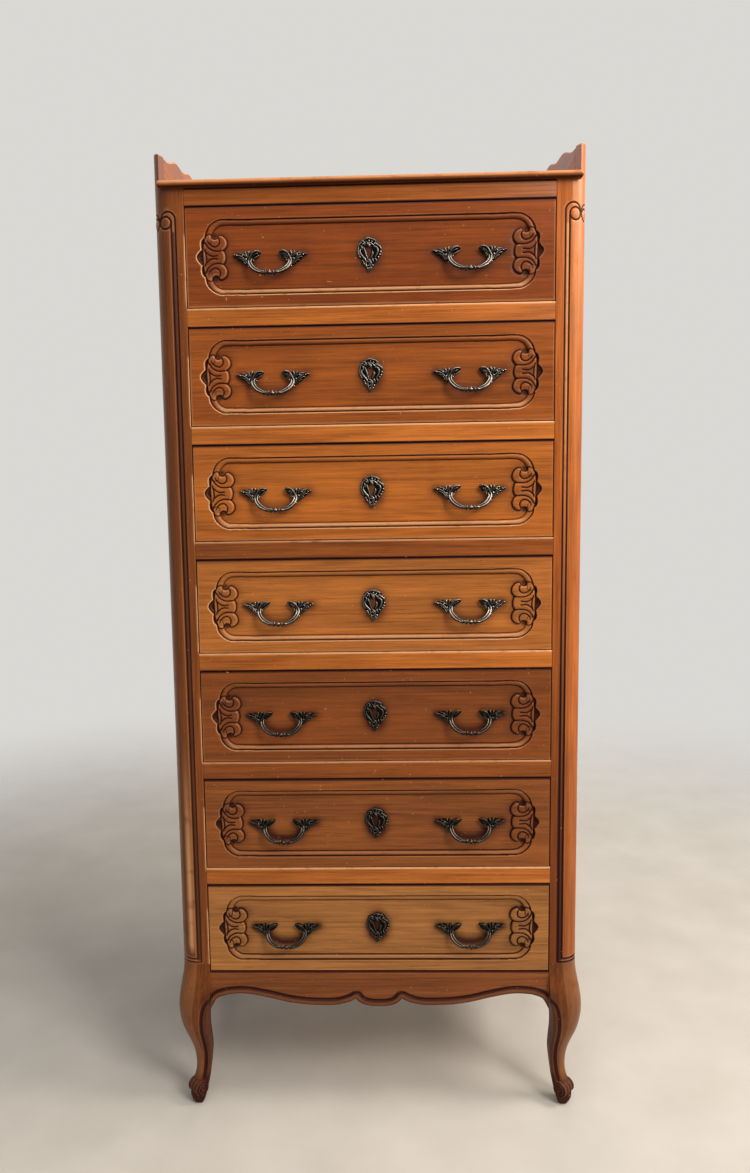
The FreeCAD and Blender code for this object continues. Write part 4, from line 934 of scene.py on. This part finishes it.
# ---------------------------------------------------------------- apron, rails, top and gallery
# The lower edge of the front apron's right half: x and how far below the lowest opening. It
# steps up to a cusp and runs down again to the middle.
CUSP = (35.5, 45.5)
APRON_SWEEP = [(INNER, 62), (251, 46), (240, 40.5), (229, 38), (212, 37), (195, 38.5), (168, 44),
               (138.5, 51.2), (110, 55), (82, 56), (66, 55.4), (52, 52.6), (42, 49), CUSP]
APRON_MIDDLE = [CUSP, (31, 50.4), (23, 55), (12, 57.4), (0, 58)]


def front_apron():
    """The scalloped board under the lowest drawer, with a bead along its lower edge."""
    top = LOWEST_OPENING
    sweep, middle = (smooth_line([(x, top - down) for x, down in line])
                     for line in (APRON_SWEEP, APRON_MIDDLE))
    half = np.vstack([sweep, middle[1:]])
    lower = np.vstack([half, (half * [-1, 1])[::-1][1:]])[::-1]
    xs = np.unique(np.concatenate([np.arange(-INNER, INNER + 1, 1.3),
                                   [INNER, CUSP[0], -CUSP[0]]]))
    edge = np.interp(xs, lower[:, 0], lower[:, 1])
    rises = np.concatenate([[0, 0.5, 1.1, 1.9, 3, 4.5, 6, 7.2], np.arange(8, 14.5, 0.55),
                            [16, 20, 26, 33]])
    below_top = np.array([2.9, 2.1, 0.8, 0])

    def form(i, j):
        x = xs[i]
        over = j - len(rises)
        z = np.where(over < 0, edge[i] + rises[np.minimum(j, len(rises) - 1)],
                     top - below_top[np.maximum(over, 0)])
        away = distance(x, z, lower)
        bead = 1.5 * np.sqrt(unit(1 - ((away - 4.6) / 4.9) ** 2))
        y = -bead + 1.7 * unit(1.3 - np.abs(away - 10.5) / 1.6)
        y = y + 2.2 * (1 - quarter(away / 2.4)) + 0.6 * (over == 3)
        glaze_and_shade = unit(1.7 - np.abs(away - 10.5) / 1.9) + 0.5 * (away < 9) + (over > 0)
        return x, y, z, unit(glaze_and_shade), 0.22 * bell(away - 5, 1.6)

    bm = shaped_grid(len(xs) - 1, len(rises) + len(below_top) - 1, form)
    backed(bm, BOARD)
    bmesh.ops.recalc_face_normals(bm, faces=bm.faces[:])
    return bm


on_case("front_apron_shaped", front_apron(), apron_wood, ["front_apron"])


def rail(low, high, shade_under_nose=0.0):
    """A planed rail: painted shade along its lower arris; its upper arris with a painted
    highlight, or with painted shade under the top's nose.
    """
    bm = soft_board(low, high, 1.2)
    glaze_and_shade, wear_and_highlight = marks_of(bm)
    bottom, top = low[2], high[2]
    for level in (bottom + 2.4, top - 3.2, top - 2.2):
        bmesh.ops.bisect_plane(bm, geom=bm.verts[:] + bm.edges[:] + bm.faces[:], dist=1e-5,
                               plane_co=(0, 0, level), plane_no=(0, 0, 1))
    # painted shade in the gap below and under the nose; painted highlight on the upper arris
    for vert in bm.verts:
        front = vert.co.y < low[1] + 2
        vert[wear_and_highlight] = front * (shade_under_nose == 0) * float(ease((vert.co.z - top + 3.1) / 1.2))
        vert[glaze_and_shade] = front * max(float(vert.co.z < bottom + 1.3),
                                  shade_under_nose * (vert.co.z > top - 2.3))
    return bm


TOP_RAIL = 25
# the top rail: painted shadow under the top's nose
on_case("top_rail_planed",
        rail((-INNER, 0, CASE_TOP - TOP_RAIL), (INNER, BOARD, CASE_TOP), 0.95),
        top_wood, ["top_rail"])
# The divider above each drawer, those above drawers 4 and 6 in the darker copy painted in shade,
# and the inner rail.
dividers = {n: rail((-INNER, 0, opening_low(n) + OPENING_HEIGHT),
                    (INNER, POST_DEPTH, opening_low(n) + PITCH)) for n in DRAWERS[1:]}
for n in (4, 6):
    for face in dividers[n].faces:
        face.material_index = 1
inner_rail = soft_board((-INNER, BOARD, LOWEST_OPENING - (PITCH - OPENING_HEIGHT)),
                        (INNER, POST_DEPTH, LOWEST_OPENING), 0.5)
on_case("drawer_rails_planed", joined([*dividers.values(), inner_rail]),
        [rail_wood, shaded_rail_wood], ["drawer_rails"])

# how far the nose of the top stands before the case
NOSE = 10


def top_board():
    """The top, with a half-round nose along its front edge, dinged here and there."""
    reach, low, high, back = CASE_HALF - EAR, CASE_TOP, TOP, CASE_DEPTH - EAR
    radius = (high - low) / 2
    nose = [(-NOSE + radius + radius * math.cos(a), low + radius + radius * math.sin(a))
            for a in np.linspace(math.pi / 2, 3 * math.pi / 2, 13)]
    section = np.array([(back - 1, high), (back * 0.5, high), (back * 0.2, high), (8, high)]
                       + nose + [(8, low), (back * 0.5, low), (back - 1, low), (back, low + 1),
                                 (back, high - 1)])
    # points 4 to 16 of the section are the nose: rubbed on its upper half, painted shade
    # underneath
    worn, dark = np.zeros(len(section)), np.zeros(len(section))
    worn[4:11] = 0.45
    dark[12:17] = (0.3, 0.7, 0.9, 0.95, 0.95)
    rings = []
    for x in np.concatenate([[-reach, -reach + 0.7, -reach + 1.8],
                             np.arange(-reach + 6, reach - 3, 6.3),
                             [reach - 1.8, reach - 0.7, reach]]):
        inset = max(0, 1.8 - (reach - abs(x))) * 0.6
        y = np.clip(section[:, 0], -NOSE + inset, back - inset * 0.3)
        y[4:17] += max(0, 0.22 * math.sin(0.37 * x) * math.sin(0.11 * x + 2))
        z = np.clip(section[:, 1], low + inset, high - inset)
        rings.append(np.column_stack([np.full(len(section), x), y, z]))
    return wrapped(rings, [dark] * len(rings), [worn] * len(rings))


on_case("top_board_nosed", top_board(), top_wood, ["top_board"])


def shelf_wave(shelves):
    """The top line of a gallery board: from shelf to shelf it runs hollow first, then full."""
    line = [shelves[0]]
    for (a0, h0), (a1, h1) in zip(shelves, shelves[1:]):
        swing = 0.027 * math.hypot(a1 - a0, h1 - h0)
        for t in np.linspace(0, 1, 15)[1:]:
            line.append((a0 + (a1 - a0) * t,
                         h0 + (h1 - h0) * t - swing * math.sin(2 * math.pi * t)))
    return np.array(line)


def gallery_board(line, place):
    """A wavy board with a rounded top edge; place puts along, across and height in the case."""
    rings = []
    last = len(line) - 1
    for number, (along, height) in enumerate(line):
        radius, end = (2.6, 0) if 0 < number < last else (1.6, 0.9)
        turns = [(radius * math.cos(a), radius * math.sin(a))
                 for a in np.linspace(0, math.pi / 2, 7)]
        right = [(EAR - end - radius + c, height - end - radius + s) for c, s in turns]
        left = [(end + radius - s, height - end - radius + c) for c, s in turns]
        steps = [(height - radius) * share for share in (0, 0.25, 0.5, 0.75)]
        section = [(EAR - end, up) for up in steps] + right + left + \
            [(end, up) for up in reversed(steps)]
        rings.append([place(along, across, up) for across, up in section])
    # points 5 to 16 of the section are its rounded top, paler with wear and a painted highlight
    worn = np.zeros(len(rings[0]))
    worn[5:17] = 0.55
    return wrapped(rings, wear_and_highlight=[worn] * len(rings))


def side_gallery():
    """The right gallery board, from the ear to the back."""
    line = shelf_wave([(POST_DEPTH + 0.3, EAR_BACK), (155, 82), (255, 99), (CASE_DEPTH, 113)])
    return gallery_board(line, lambda a, c, h: (CASE_HALF - c, a, CASE_TOP + h))


on_case("gallery_waved_right", side_gallery(), lit_right_gallery_wood, ["gallery_right"])
on_case("gallery_waved_left", mirrored(side_gallery()), depth_wood, ["gallery_left"])
reach = CASE_HALF - EAR
half_line = shelf_wave([(0, 123.6), (-reach / 3, 120.7), (-reach, 113)])[::-1]
back_line = np.vstack([half_line[:-1], (half_line * [-1, 1])[::-1]])
on_case("gallery_waved_back",
        gallery_board(back_line, lambda a, c, h: (a, CASE_DEPTH - EAR + c, CASE_TOP + h)),
        top_wood, ["gallery_back"])


# ---------------------------------------------------------------- cast pulls and escutcheons
def strand(points, around=12, steps=5):
    """A cast strand: x, z, y, half width and half thickness at points along it."""
    line = smooth_line(points, steps)
    spine = line[:, [0, 2, 1]]
    wide, thick = np.maximum(line[:, 3], 0.15), np.maximum(line[:, 4], 0.15)
    run = np.gradient(spine, axis=0)
    run /= np.linalg.norm(run, axis=1)[:, None]
    across = np.cross(run, [0, 1, 0])
    across /= np.maximum(np.linalg.norm(across, axis=1), 1e-6)[:, None]
    ahead = np.cross(across, run)
    ahead = np.where(ahead[:, 1:2] > 0, -ahead, ahead)
    angles = np.linspace(0, 2 * math.pi, around, endpoint=False)
    rings = (spine[:, None, :]
             + (wide[:, None] * np.cos(angles))[:, :, None] * across[:, None, :]
             + (thick[:, None] * np.sin(angles))[:, :, None] * ahead[:, None, :])
    # rubbed and lit: the front and upper sides of a strand are painted bright, a painted highlight
    # on top of wear
    worn = unit(0.15 + 1.0 * np.sin(angles)) ** 1.2
    up = (rings[:, :, 2] - spine[:, None, 2]) / np.maximum(wide, thick)[:, None]
    return wrapped(rings, wear_and_highlight=worn * (0.68 + 0.45 * up))


def ball(x, z, y, radius):
    """A small cast ball, flattened to the front."""
    bm = blank()
    bmesh.ops.create_uvsphere(bm, u_segments=12, v_segments=8, radius=radius)
    bmesh.ops.rotate(bm, matrix=Matrix.Rotation(math.pi / 2, 3, "X"), verts=bm.verts[:])
    wear_and_highlight = marks_of(bm)[1]
    for vert in bm.verts:
        # the front and upper side of a ball painted bright: wear and a painted highlight
        vert[wear_and_highlight] = min(1, max(0, 0.25 - vert.co.y / radius * 0.8 + 0.25 * vert.co.z / radius))
        vert.co = (vert.co.x + x, vert.co.y * 0.8 + y, vert.co.z + z)
    return bm


def plate(outline, middle, back, height, ribs=0, rib_from=(0, 0), opening=None):
    """A low cast relief with a rounded rim, ribbed from one point, solid or with an opening."""
    hole = np.tile(middle, (len(outline), 1)) if opening is None else opening
    shares = [(0, 0), (0, 0.55), (0.05, 0.85), (0.12, 1.0), (0.26, 1.0), (0.42, 1.0),
              (0.58, 1.0), (0.74, 1.0), (0.88, 1.0)]
    shares += [(0.97, 1.0)] if opening is None else [(0.95, 0.85), (1.0, 0.5), (1.0, 0), (0, 0)]
    rings, pale = [], []
    for share, rise in shares:
        flat = outline + (hole - outline) * share
        swell = 1 + (0.35 * math.sin(math.pi * share) if rise == 1.0 else 0)
        y = np.full(len(flat), back - height * rise * swell)
        worn = np.full(len(flat), 0.10 if rise == 1.0 else 0.35 * (rise > 0.5))
        if ribs and rise == 1.0:
            turn = np.arctan2(flat[:, 1] - rib_from[1], flat[:, 0] - rib_from[0])
            wave = np.cos(ribs * turn)
            y = y - 0.30 * height * wave
            worn = worn + 0.45 * unit(wave) ** 3
        rings.append(np.column_stack([flat[:, 0], y, flat[:, 1]]))
        pale.append(worn)
    return wrapped(rings, wear_and_highlight=pale)


def pin(start, end, radius, rounding):
    """A turned pin from one point to another, its rims rounded."""
    bm = blank()
    start, end = Vector(start), Vector(end)
    turn = (end - start).to_track_quat("Z", "Y").to_matrix().to_4x4()
    bmesh.ops.create_cone(bm, cap_ends=True, segments=28, radius1=radius, radius2=radius,
                          depth=(end - start).length,
                          matrix=Matrix.Translation((start + end) / 2) @ turn)
    if rounding:
        rims = [edge for edge in bm.edges if any(len(face.verts) != 4 for face in edge.link_faces)]
        bmesh.ops.bevel(bm, geom=rims, offset=rounding, segments=3, profile=0.5,
                        affect="EDGES", material=-1)
    return bm


# The pull's right half, about the middle of the pull on the drawer front: the outlines of the
# leaf and of the curl beside it, the strands as x, z, y, half width and half thickness at points
# along them, and the balls as x, z, y and radius.
LEAF_OUTLINE = smooth_line(
    [(30.5, -15.2), (33.5, -12.8), (36.4, -12.6), (37.4, -10), (40.6, -9.2), (41.4, -6.4),
     (44.6, -5.8), (45.6, -3.2), (48.4, -2.2), (52.2, 0.9), (48.4, 1.8), (45, 3.2), (42.2, 2.2),
     (39.4, 4.2), (36.4, 3), (33.6, 4.8), (30.2, 3.6), (27.4, 4.2), (26.6, -1), (27.2, -8),
     (28.4, -13.2)],
    3, closed=True)
CURL_OUTLINE = smooth_line(
    [(12.8, 3.2), (15.4, 4.6), (19.4, 4.9), (23.4, 3.2), (26.6, -0.6), (28.4, -5.6), (27.4, -8.8),
     (24.6, -7.6), (22.8, -5.2), (19, -4.4), (16.2, -2.6), (14.6, 0.2)],
    4, closed=True)
PULL_STRANDS = [
    # the outer and the inner bar of the bail
    [(29, -3.5, 0.4, 1.5, 1.5), (30, -9.5, -2.6, 1.7, 1.8), (28.2, -15.6, -6, 1.9, 1.9),
     (23.4, -21.4, -8.9, 1.9, 1.9), (16.6, -25.2, -10.6, 1.8, 1.9), (10.2, -26.8, -11.1, 1.6, 1.8),
     (4, -27.2, -11.2, 1.5, 1.8)],
    [(25.8, -4, 0.6, 1.2, 1.3), (26.8, -9.6, -2.4, 1.4, 1.5), (25, -14.4, -5.5, 1.4, 1.5),
     (20.8, -19.3, -8.3, 1.3, 1.5), (15.2, -22.8, -10, 1.2, 1.4), (10, -24.8, -10.6, 1, 1.3),
     (4.6, -25.6, -10.8, 0.8, 1.2)],
    # the upper, lower and middle strand of the curl
    [(12.6, 2.6, 0, 0.5, 0.7), (15.4, 4.3, -1.6, 1.3, 1.3), (19.8, 4.4, -2.4, 1.6, 1.5),
     (24, 2, -2.6, 1.6, 1.5), (27, -2.2, -2.4, 1.5, 1.5), (29.2, -7, -2.6, 1.2, 1.3),
     (30.8, -11, -3.6, 0.8, 1)],
    [(14.6, 0.2, 0.6, 0.5, 0.6), (17.6, -2.4, -0.6, 0.8, 0.8), (21.4, -4.6, -1, 0.9, 0.9),
     (24.4, -6.6, -1.2, 0.7, 0.8)],
    [(15.6, 2.2, 0, 0.4, 0.6), (19, 1.4, -1.2, 0.9, 0.9), (22.6, -0.6, -1.6, 0.9, 1),
     (25.4, -4, -1.4, 0.6, 0.8)],
    # two petals where the bail meets the leaf
    [(27.6, 4.9, 0.2, 0.5, 0.7), (29.2, 4.2, -1, 1.6, 1.2), (30.2, 1, -1.6, 1.5, 1.3),
     (30.4, -3.4, -1.6, 0.8, 1)],
    [(33, 5, 0.6, 0.5, 0.6), (34.4, 3.8, -0.6, 1.3, 1.1), (33.8, 0.6, -1.2, 1.2, 1.2),
     (32, -3.6, -1.2, 0.7, 0.9)],
    # the spine of the leaf and its three ribs
    [(52.6, 0.9, 1.6, 0.3, 0.5), (48.6, 0.6, 0.6, 0.9, 0.9), (43.6, -0.6, -0.4, 1.1, 1.1),
     (38.4, -3.4, -0.9, 1.1, 1.2), (34.2, -8, -1.2, 1, 1.1), (31.4, -13.4, -2.2, 0.7, 0.9)],
    [(46.2, -3.2, 1.2, 0.4, 0.5), (43.2, -3.6, 0.2, 0.8, 0.8), (39.4, -5.4, -0.4, 0.8, 0.9),
     (36.4, -8.6, -0.8, 0.6, 0.8)],
    [(41.6, -7, 1.2, 0.4, 0.5), (39, -7.8, 0.2, 0.8, 0.8), (35.8, -10.4, -0.4, 0.8, 0.8),
     (33.6, -13, -1, 0.5, 0.7)],
    [(44.8, 2.9, 1.2, 0.4, 0.5), (41.8, 2, 0, 0.8, 0.8), (37.8, 1, -0.6, 0.9, 0.9),
     (34.6, -2, -1, 0.7, 0.9)]]
PULL_BALLS = [(23.6, -7.6, -0.2, 1.3), (33.4, -6, -1.8, 1.4), (46.8, -0.4, -0.2, 1.1),
              (49.8, 0.9, 0.8, 0.9), (38.2, -0.6, -1.3, 1.2), (30.2, -16.4, -3.6, 1.2)]
# Across the middle, under the bail: the knot with a strand at each end, a leaf at its right and
# a wrapped band at its left.
KNOT = [(-3.6, -26.8, -11.2, 0.8, 1), (-2.2, -26.9, -11.3, 2.6, 2.2), (0, -27, -11.4, 3.3, 2.9),
        (2.2, -26.9, -11.3, 2.6, 2.2), (3.6, -26.8, -11.2, 0.8, 1)]
KNOT_END = [(4.6, -23.2, -11, 0.6, 0.6), (5.4, -25.6, -12.6, 1.5, 1.3),
            (6.4, -28.2, -12.2, 1.6, 1.3), (6.6, -30.2, -10.6, 0.6, 0.6)]
KNOT_LEAF = [(7.6, -25, -11.8, 0.6, 0.7), (9.2, -26.2, -12.4, 1.9, 1.3),
             (12, -26.4, -12, 1.6, 1.2), (16, -25, -10.8, 0.4, 0.6)]
BAND = [(1, -23.6, -10.6, 0.4, 0.5), (0.4, -25.2, -12.4, 0.8, 0.8), (-0.6, -27.4, -12, 0.7, 0.8),
        (-1.4, -28.8, -10.2, 0.4, 0.5)]
KNOT_BALLS = [(0.3, -24.2, -12.8, 1.1), (0.2, -29.8, -12, 1)]
# What holds a pull: a boss behind each leaf, so thick, and a screw from inside the drawer.
BOSS_X, BOSS_Z, BOSS, DRAWER_INSIDE = 32, -3, 3.4, 20


def sideways(rows, side=1, start=0):
    """The rows with their x counted from a start, to the right or to the left."""
    return [(start + side * x, *rest) for x, *rest in rows]


def pull():
    """A bail pull cast in one piece with its leaves, about its own middle on the drawer front."""
    shapes = []
    for side in (1, -1):
        flip = np.array([side, 1])
        leaf, curl = ((outline * flip)[::side] for outline in (LEAF_OUTLINE, CURL_OUTLINE))
        shapes.append(plate(leaf, (side * 36.6, -2.2), FIELD_DEPTH, 3.4, 9, (side * 28, -12)))
        shapes.append(plate(curl, (side * 21.6, 0.2), FIELD_DEPTH - 1.0, 3.4, 5,
                            (side * 29, -8)))
        shapes += [strand(sideways(rows, side)) for rows in PULL_STRANDS]
        shapes += [ball(*row) for row in sideways(PULL_BALLS, side)]
    shapes.append(strand(KNOT, 16))
    shapes += [strand(sideways(KNOT_END, side)) for side in (-1, 1)]
    shapes.append(strand(KNOT_LEAF))
    shapes += [strand(sideways(BAND, start=x)) for x in (-8.6, -10.8, -12.8)]
    shapes += [ball(*row) for row in KNOT_BALLS]
    for x in (-BOSS_X, BOSS_X):
        for start, end, radius, rounding in (
                (FIELD_DEPTH - BOSS, FIELD_DEPTH, 5, 0.4), (FIELD_DEPTH, DRAWER_INSIDE, 2, 0),
                (DRAWER_INSIDE, DRAWER_INSIDE + 2.2, 4, 0.6)):
            shapes.append(pin((x, start, BOSS_Z), (x, end, BOSS_Z), radius, rounding))
    return joined(shapes)


# The escutcheon about the middle of the front, in the same terms as the pull.
ESCUTCHEON_OUTLINE = [
    (17.2, 2), (16.4, 5.4), (17.4, 8.6), (15.4, 10.6), (14.4, 13.2), (12, 14.6), (11.4, 17.4),
    (9.4, 20), (6.6, 20.4), (4.8, 22.6), (1.8, 22.4), (-0.6, 24.2), (-3.4, 23.2), (-5.4, 20.6),
    (-8.2, 20.8), (-11.4, 19.6), (-14.2, 17.8), (-15, 14.6), (-16.8, 12), (-16.2, 8.8),
    (-17.6, 5.6), (-16.8, 2.2), (-17.2, -0.8), (-14.8, -3.2), (-13.6, -6.6), (-11, -8.4),
    (-10.6, -11.4), (-8.2, -13), (-7.2, -16.2), (-4.8, -18), (-4, -21), (-1.8, -24.4),
    (0.8, -21.4), (3, -19.6), (4.4, -16.8), (7, -14.6), (8.4, -11.8), (10.8, -10.2), (10.4, -7),
    (13, -5.4), (14, -2.8), (16.6, -1)]
ESCUTCHEON_OPENING = [
    (2.4, 4.2), (2.5, 6.6), (1.4, 8.8), (-0.8, 10.2), (-3, 10.4), (-4.8, 8.6), (-5, 5.6),
    (-4.4, 2), (-3.4, -1.4), (-2.2, -4.6), (-1, -6.6), (0.2, -4.4), (1.2, -1.2), (2, 1.6)]
ESCUTCHEON_STRANDS = [
    # left: the scroll's rim, the bright diagonal band and the edge of the opening
    [(-11, 16.4, 2.2, 0.5, 0.6), (-14.2, 13.6, 1.8, 0.9, 0.9), (-15.6, 8.6, 1.7, 0.9, 0.9),
     (-15.9, 3.6, 1.7, 0.9, 0.9), (-15, -0.8, 1.9, 0.8, 0.8), (-12.4, -5.2, 2.2, 0.4, 0.6)],
    [(-13, 7.4, 2.2, 0.4, 0.5), (-13.4, 3, 1.7, 1.1, 0.9), (-11.2, -1.4, 1.3, 1.5, 1.1),
     (-8.4, -4.6, 1.2, 1.5, 1.1), (-6, -7.6, 1.3, 1.3, 1), (-4.8, -11.4, 1.8, 0.7, 0.8)],
    [(-8.8, 10.2, 2.2, 0.4, 0.5), (-7.4, 7, 1.6, 1, 0.9), (-6, 3, 1.4, 1.1, 0.9),
     (-4.8, -1.4, 1.5, 1, 0.9), (-3.2, -5.8, 1.7, 0.7, 0.8)],
    [(-12, 12.4, 2.2, 0.5, 0.5), (-10.8, 9.6, 1.7, 1.2, 0.9), (-10.6, 5.8, 1.9, 0.6, 0.6)],
    # top: the crest and the leaf over the opening
    [(-12.8, 17.2, 2.3, 0.4, 0.5), (-9.4, 17.9, 1.8, 1, 0.9), (-7, 15.2, 1.6, 1.1, 0.9),
     (-6.6, 11.8, 1.9, 0.6, 0.7)],
    [(-7.8, 19.4, 2.4, 0.4, 0.5), (-4.8, 21.2, 1.8, 0.9, 0.8), (-1.2, 22, 1.7, 1, 0.9),
     (2.2, 20.8, 1.7, 1, 0.9), (5.8, 20, 1.8, 0.9, 0.9), (9, 17.8, 1.9, 0.8, 0.8)],
    [(-3.6, 15.4, 2, 0.5, 0.6), (-0.9, 12.6, 1.3, 2.2, 1.1), (0.6, 9.4, 1.9, 0.7, 0.7)],
    [(-5.2, 17.8, 2.2, 0.4, 0.5), (-2.2, 15.8, 1.7, 0.8, 0.8), (2, 15.2, 1.5, 1, 0.9),
     (5.2, 12.4, 1.7, 0.9, 0.8), (7.4, 11.6, 2.1, 0.4, 0.6)],
    # right: the wavy upper edge, the crescent and the beaded rim
    [(8, 16.6, 2.2, 0.5, 0.6), (9.4, 13.8, 1.5, 1.2, 1), (12.2, 11.6, 1.4, 1.3, 1),
     (15, 9.4, 1.5, 1.3, 1), (16.4, 6, 2, 0.6, 0.7)],
    [(5.6, 10.2, 2, 0.5, 0.6), (8.8, 9.6, 1.4, 1.2, 1), (11.2, 6.6, 1.2, 1.4, 1.1),
     (11.4, 2.6, 1.2, 1.4, 1.1), (9.8, -1.4, 1.5, 1.1, 0.9), (7.4, -4.4, 2, 0.6, 0.7)],
    [(3.8, 4.6, 2, 0.5, 0.6), (4.4, 1.4, 1.5, 1.3, 0.9), (3.4, -2.2, 1.6, 1.1, 0.8),
     (1.8, -5.4, 2.1, 0.5, 0.6)],
    # below: the loop, the short pair and the ribbed tail
    [(-2.8, -6.4, 2, 0.5, 0.6), (-0.2, -8, 1.3, 1.2, 1), (1.7, -11.2, 1.2, 1.3, 1.1),
     (1.6, -14.8, 1.4, 1.1, 1), (0.2, -18, 1.9, 0.6, 0.7)],
    [(4.2, -5.6, 2, 0.5, 0.6), (4.6, -8.4, 1.4, 1.1, 1), (6.2, -11.2, 2, 0.5, 0.6)],
    [(7.6, -5.2, 2, 0.5, 0.6), (9.2, -8, 1.5, 1, 0.9), (9.4, -11, 2.1, 0.5, 0.5)],
    [(-8.6, -9.4, 2.2, 0.4, 0.5), (-8.2, -12.2, 1.6, 1.1, 0.9), (-6, -15.2, 2.1, 0.5, 0.6)],
    [(-3.4, -17.6, 2.1, 0.4, 0.5), (-3.2, -20, 1.9, 0.7, 0.7), (-2.2, -23.4, 2.8, 0.3, 0.4)],
    [(-0.9, -18, 2, 0.4, 0.5), (-1.4, -20.6, 1.7, 0.7, 0.7), (-1.8, -24, 2.8, 0.3, 0.4)],
    [(1.8, -17.4, 2.1, 0.4, 0.5), (1, -20, 1.9, 0.7, 0.7), (-0.6, -23, 2.8, 0.3, 0.4)]]
ESCUTCHEON_BALLS = [
    (15.7, 3.4, 1.2), (14.6, -0.6, 1.2), (12.4, -3.8, 1.1), (4.5, -15, 1.2), (2.6, -18.2, 1),
    (-4.3, -16.2, 1.1), (-9.8, -8.6, 1), (3.6, 17.2, 0.9), (-16.4, 6.2, 0.9), (-16.2, 1.6, 0.8),
    (-9, 14.2, 1), (7.4, 14.6, 0.9), (-0.6, 18.6, 1)]
LOOP = [(-2.6 + 2.5 * math.cos(a), -12.8 + 3.0 * math.sin(a), 1.7, 0.75, 0.8)
        for a in np.linspace(0.5, 2 * math.pi, 10)]


def escutcheon():
    """A pierced rocaille escutcheon: lopsided scrolls round a tapering opening."""
    rim = smooth_line(ESCUTCHEON_OUTLINE, 3, closed=True)
    inner = smooth_line(ESCUTCHEON_OPENING, 12, closed=True)
    # one point of the opening for each point of the rim, seen from the opening's middle
    middle = np.array([-1.2, 2.8])
    rim_turn, inner_turn = (
        np.mod(np.unwrap(np.arctan2(line[:, 1] - middle[1], line[:, 0] - middle[0])),
               2 * math.pi) for line in (rim, inner))
    order = np.argsort(inner_turn)
    wide = [np.interp(rim_turn, inner_turn[order], inner[order, k], period=2 * math.pi)
            for k in (0, 1)]
    shapes = [plate(rim, middle, FIELD_DEPTH, 1.15, opening=np.column_stack(wide))]
    shapes += [strand(rows, 10) for rows in ESCUTCHEON_STRANDS]
    shapes.append(strand(LOOP, 10, 3))
    shapes += [ball(x, z, 2.0, radius) for x, z, radius in ESCUTCHEON_BALLS]
    return joined(shapes)


def cast_on_drawers(shape, name, places, node, metal):
    """The same casting on every drawer, at places counted from the drawer's opening."""
    single = meshed(name, shape)
    whole = bmesh.new()
    for x, z in places:
        copy = single.copy()
        copy.transform(Matrix.Translation((x * MM, 0, z * MM)))
        whole.from_mesh(copy)
        bpy.data.meshes.remove(copy)
    whole.to_mesh(single)
    whole.free()
    on_drawers(single, f"cast_{name}", node, metal)


cast_on_drawers(pull(), "pulls", [(-PULL_X, PULL_Z), (PULL_X, PULL_Z)], "pulls", pull_metal)
cast_on_drawers(escutcheon(), "escutcheon", [(0, OPENING_HEIGHT / 2)], "escutcheon",
                escutcheon_metal)

# ---------------------------------------------------------------- carried-over nodes
node_material = {
    "leg_dowels": inner_wood, "front_apron": apron_wood, "top_rail": top_wood,
    "drawer_rails": rail_wood, "drawer_stops": inner_cross, "back_rails": inner_cross,
    "back_panel": back_wood, "top_board": top_wood, "gallery_back": top_wood}
for side, post, gallery in (("left", shaded_left_post_wood, depth_wood),
                            ("right", lit_right_post_wood, lit_right_gallery_wood)):
    for piece, material in (("front_post", post), ("back_post", post), ("front_leg", leg_wood),
                            ("back_leg", leg_wood), ("side_panel", side_wood),
                            ("side_apron", depth_wood), ("runners", inner_wood),
                            ("gallery", gallery)):
        node_material[f"{piece}_{side}"] = material
for n in DRAWERS:
    for piece, material in (("box", inner_wood), ("bottom", inner_cross),
                            ("front", front_wood[n]), ("pulls", pull_metal[n]),
                            ("escutcheon", escutcheon_metal[n])):
        node_material[f"drawer_{n}_{piece}"] = material
for name, material in node_material.items():
    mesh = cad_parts[name].data
    mesh.materials.clear()
    mesh.materials.append(material)
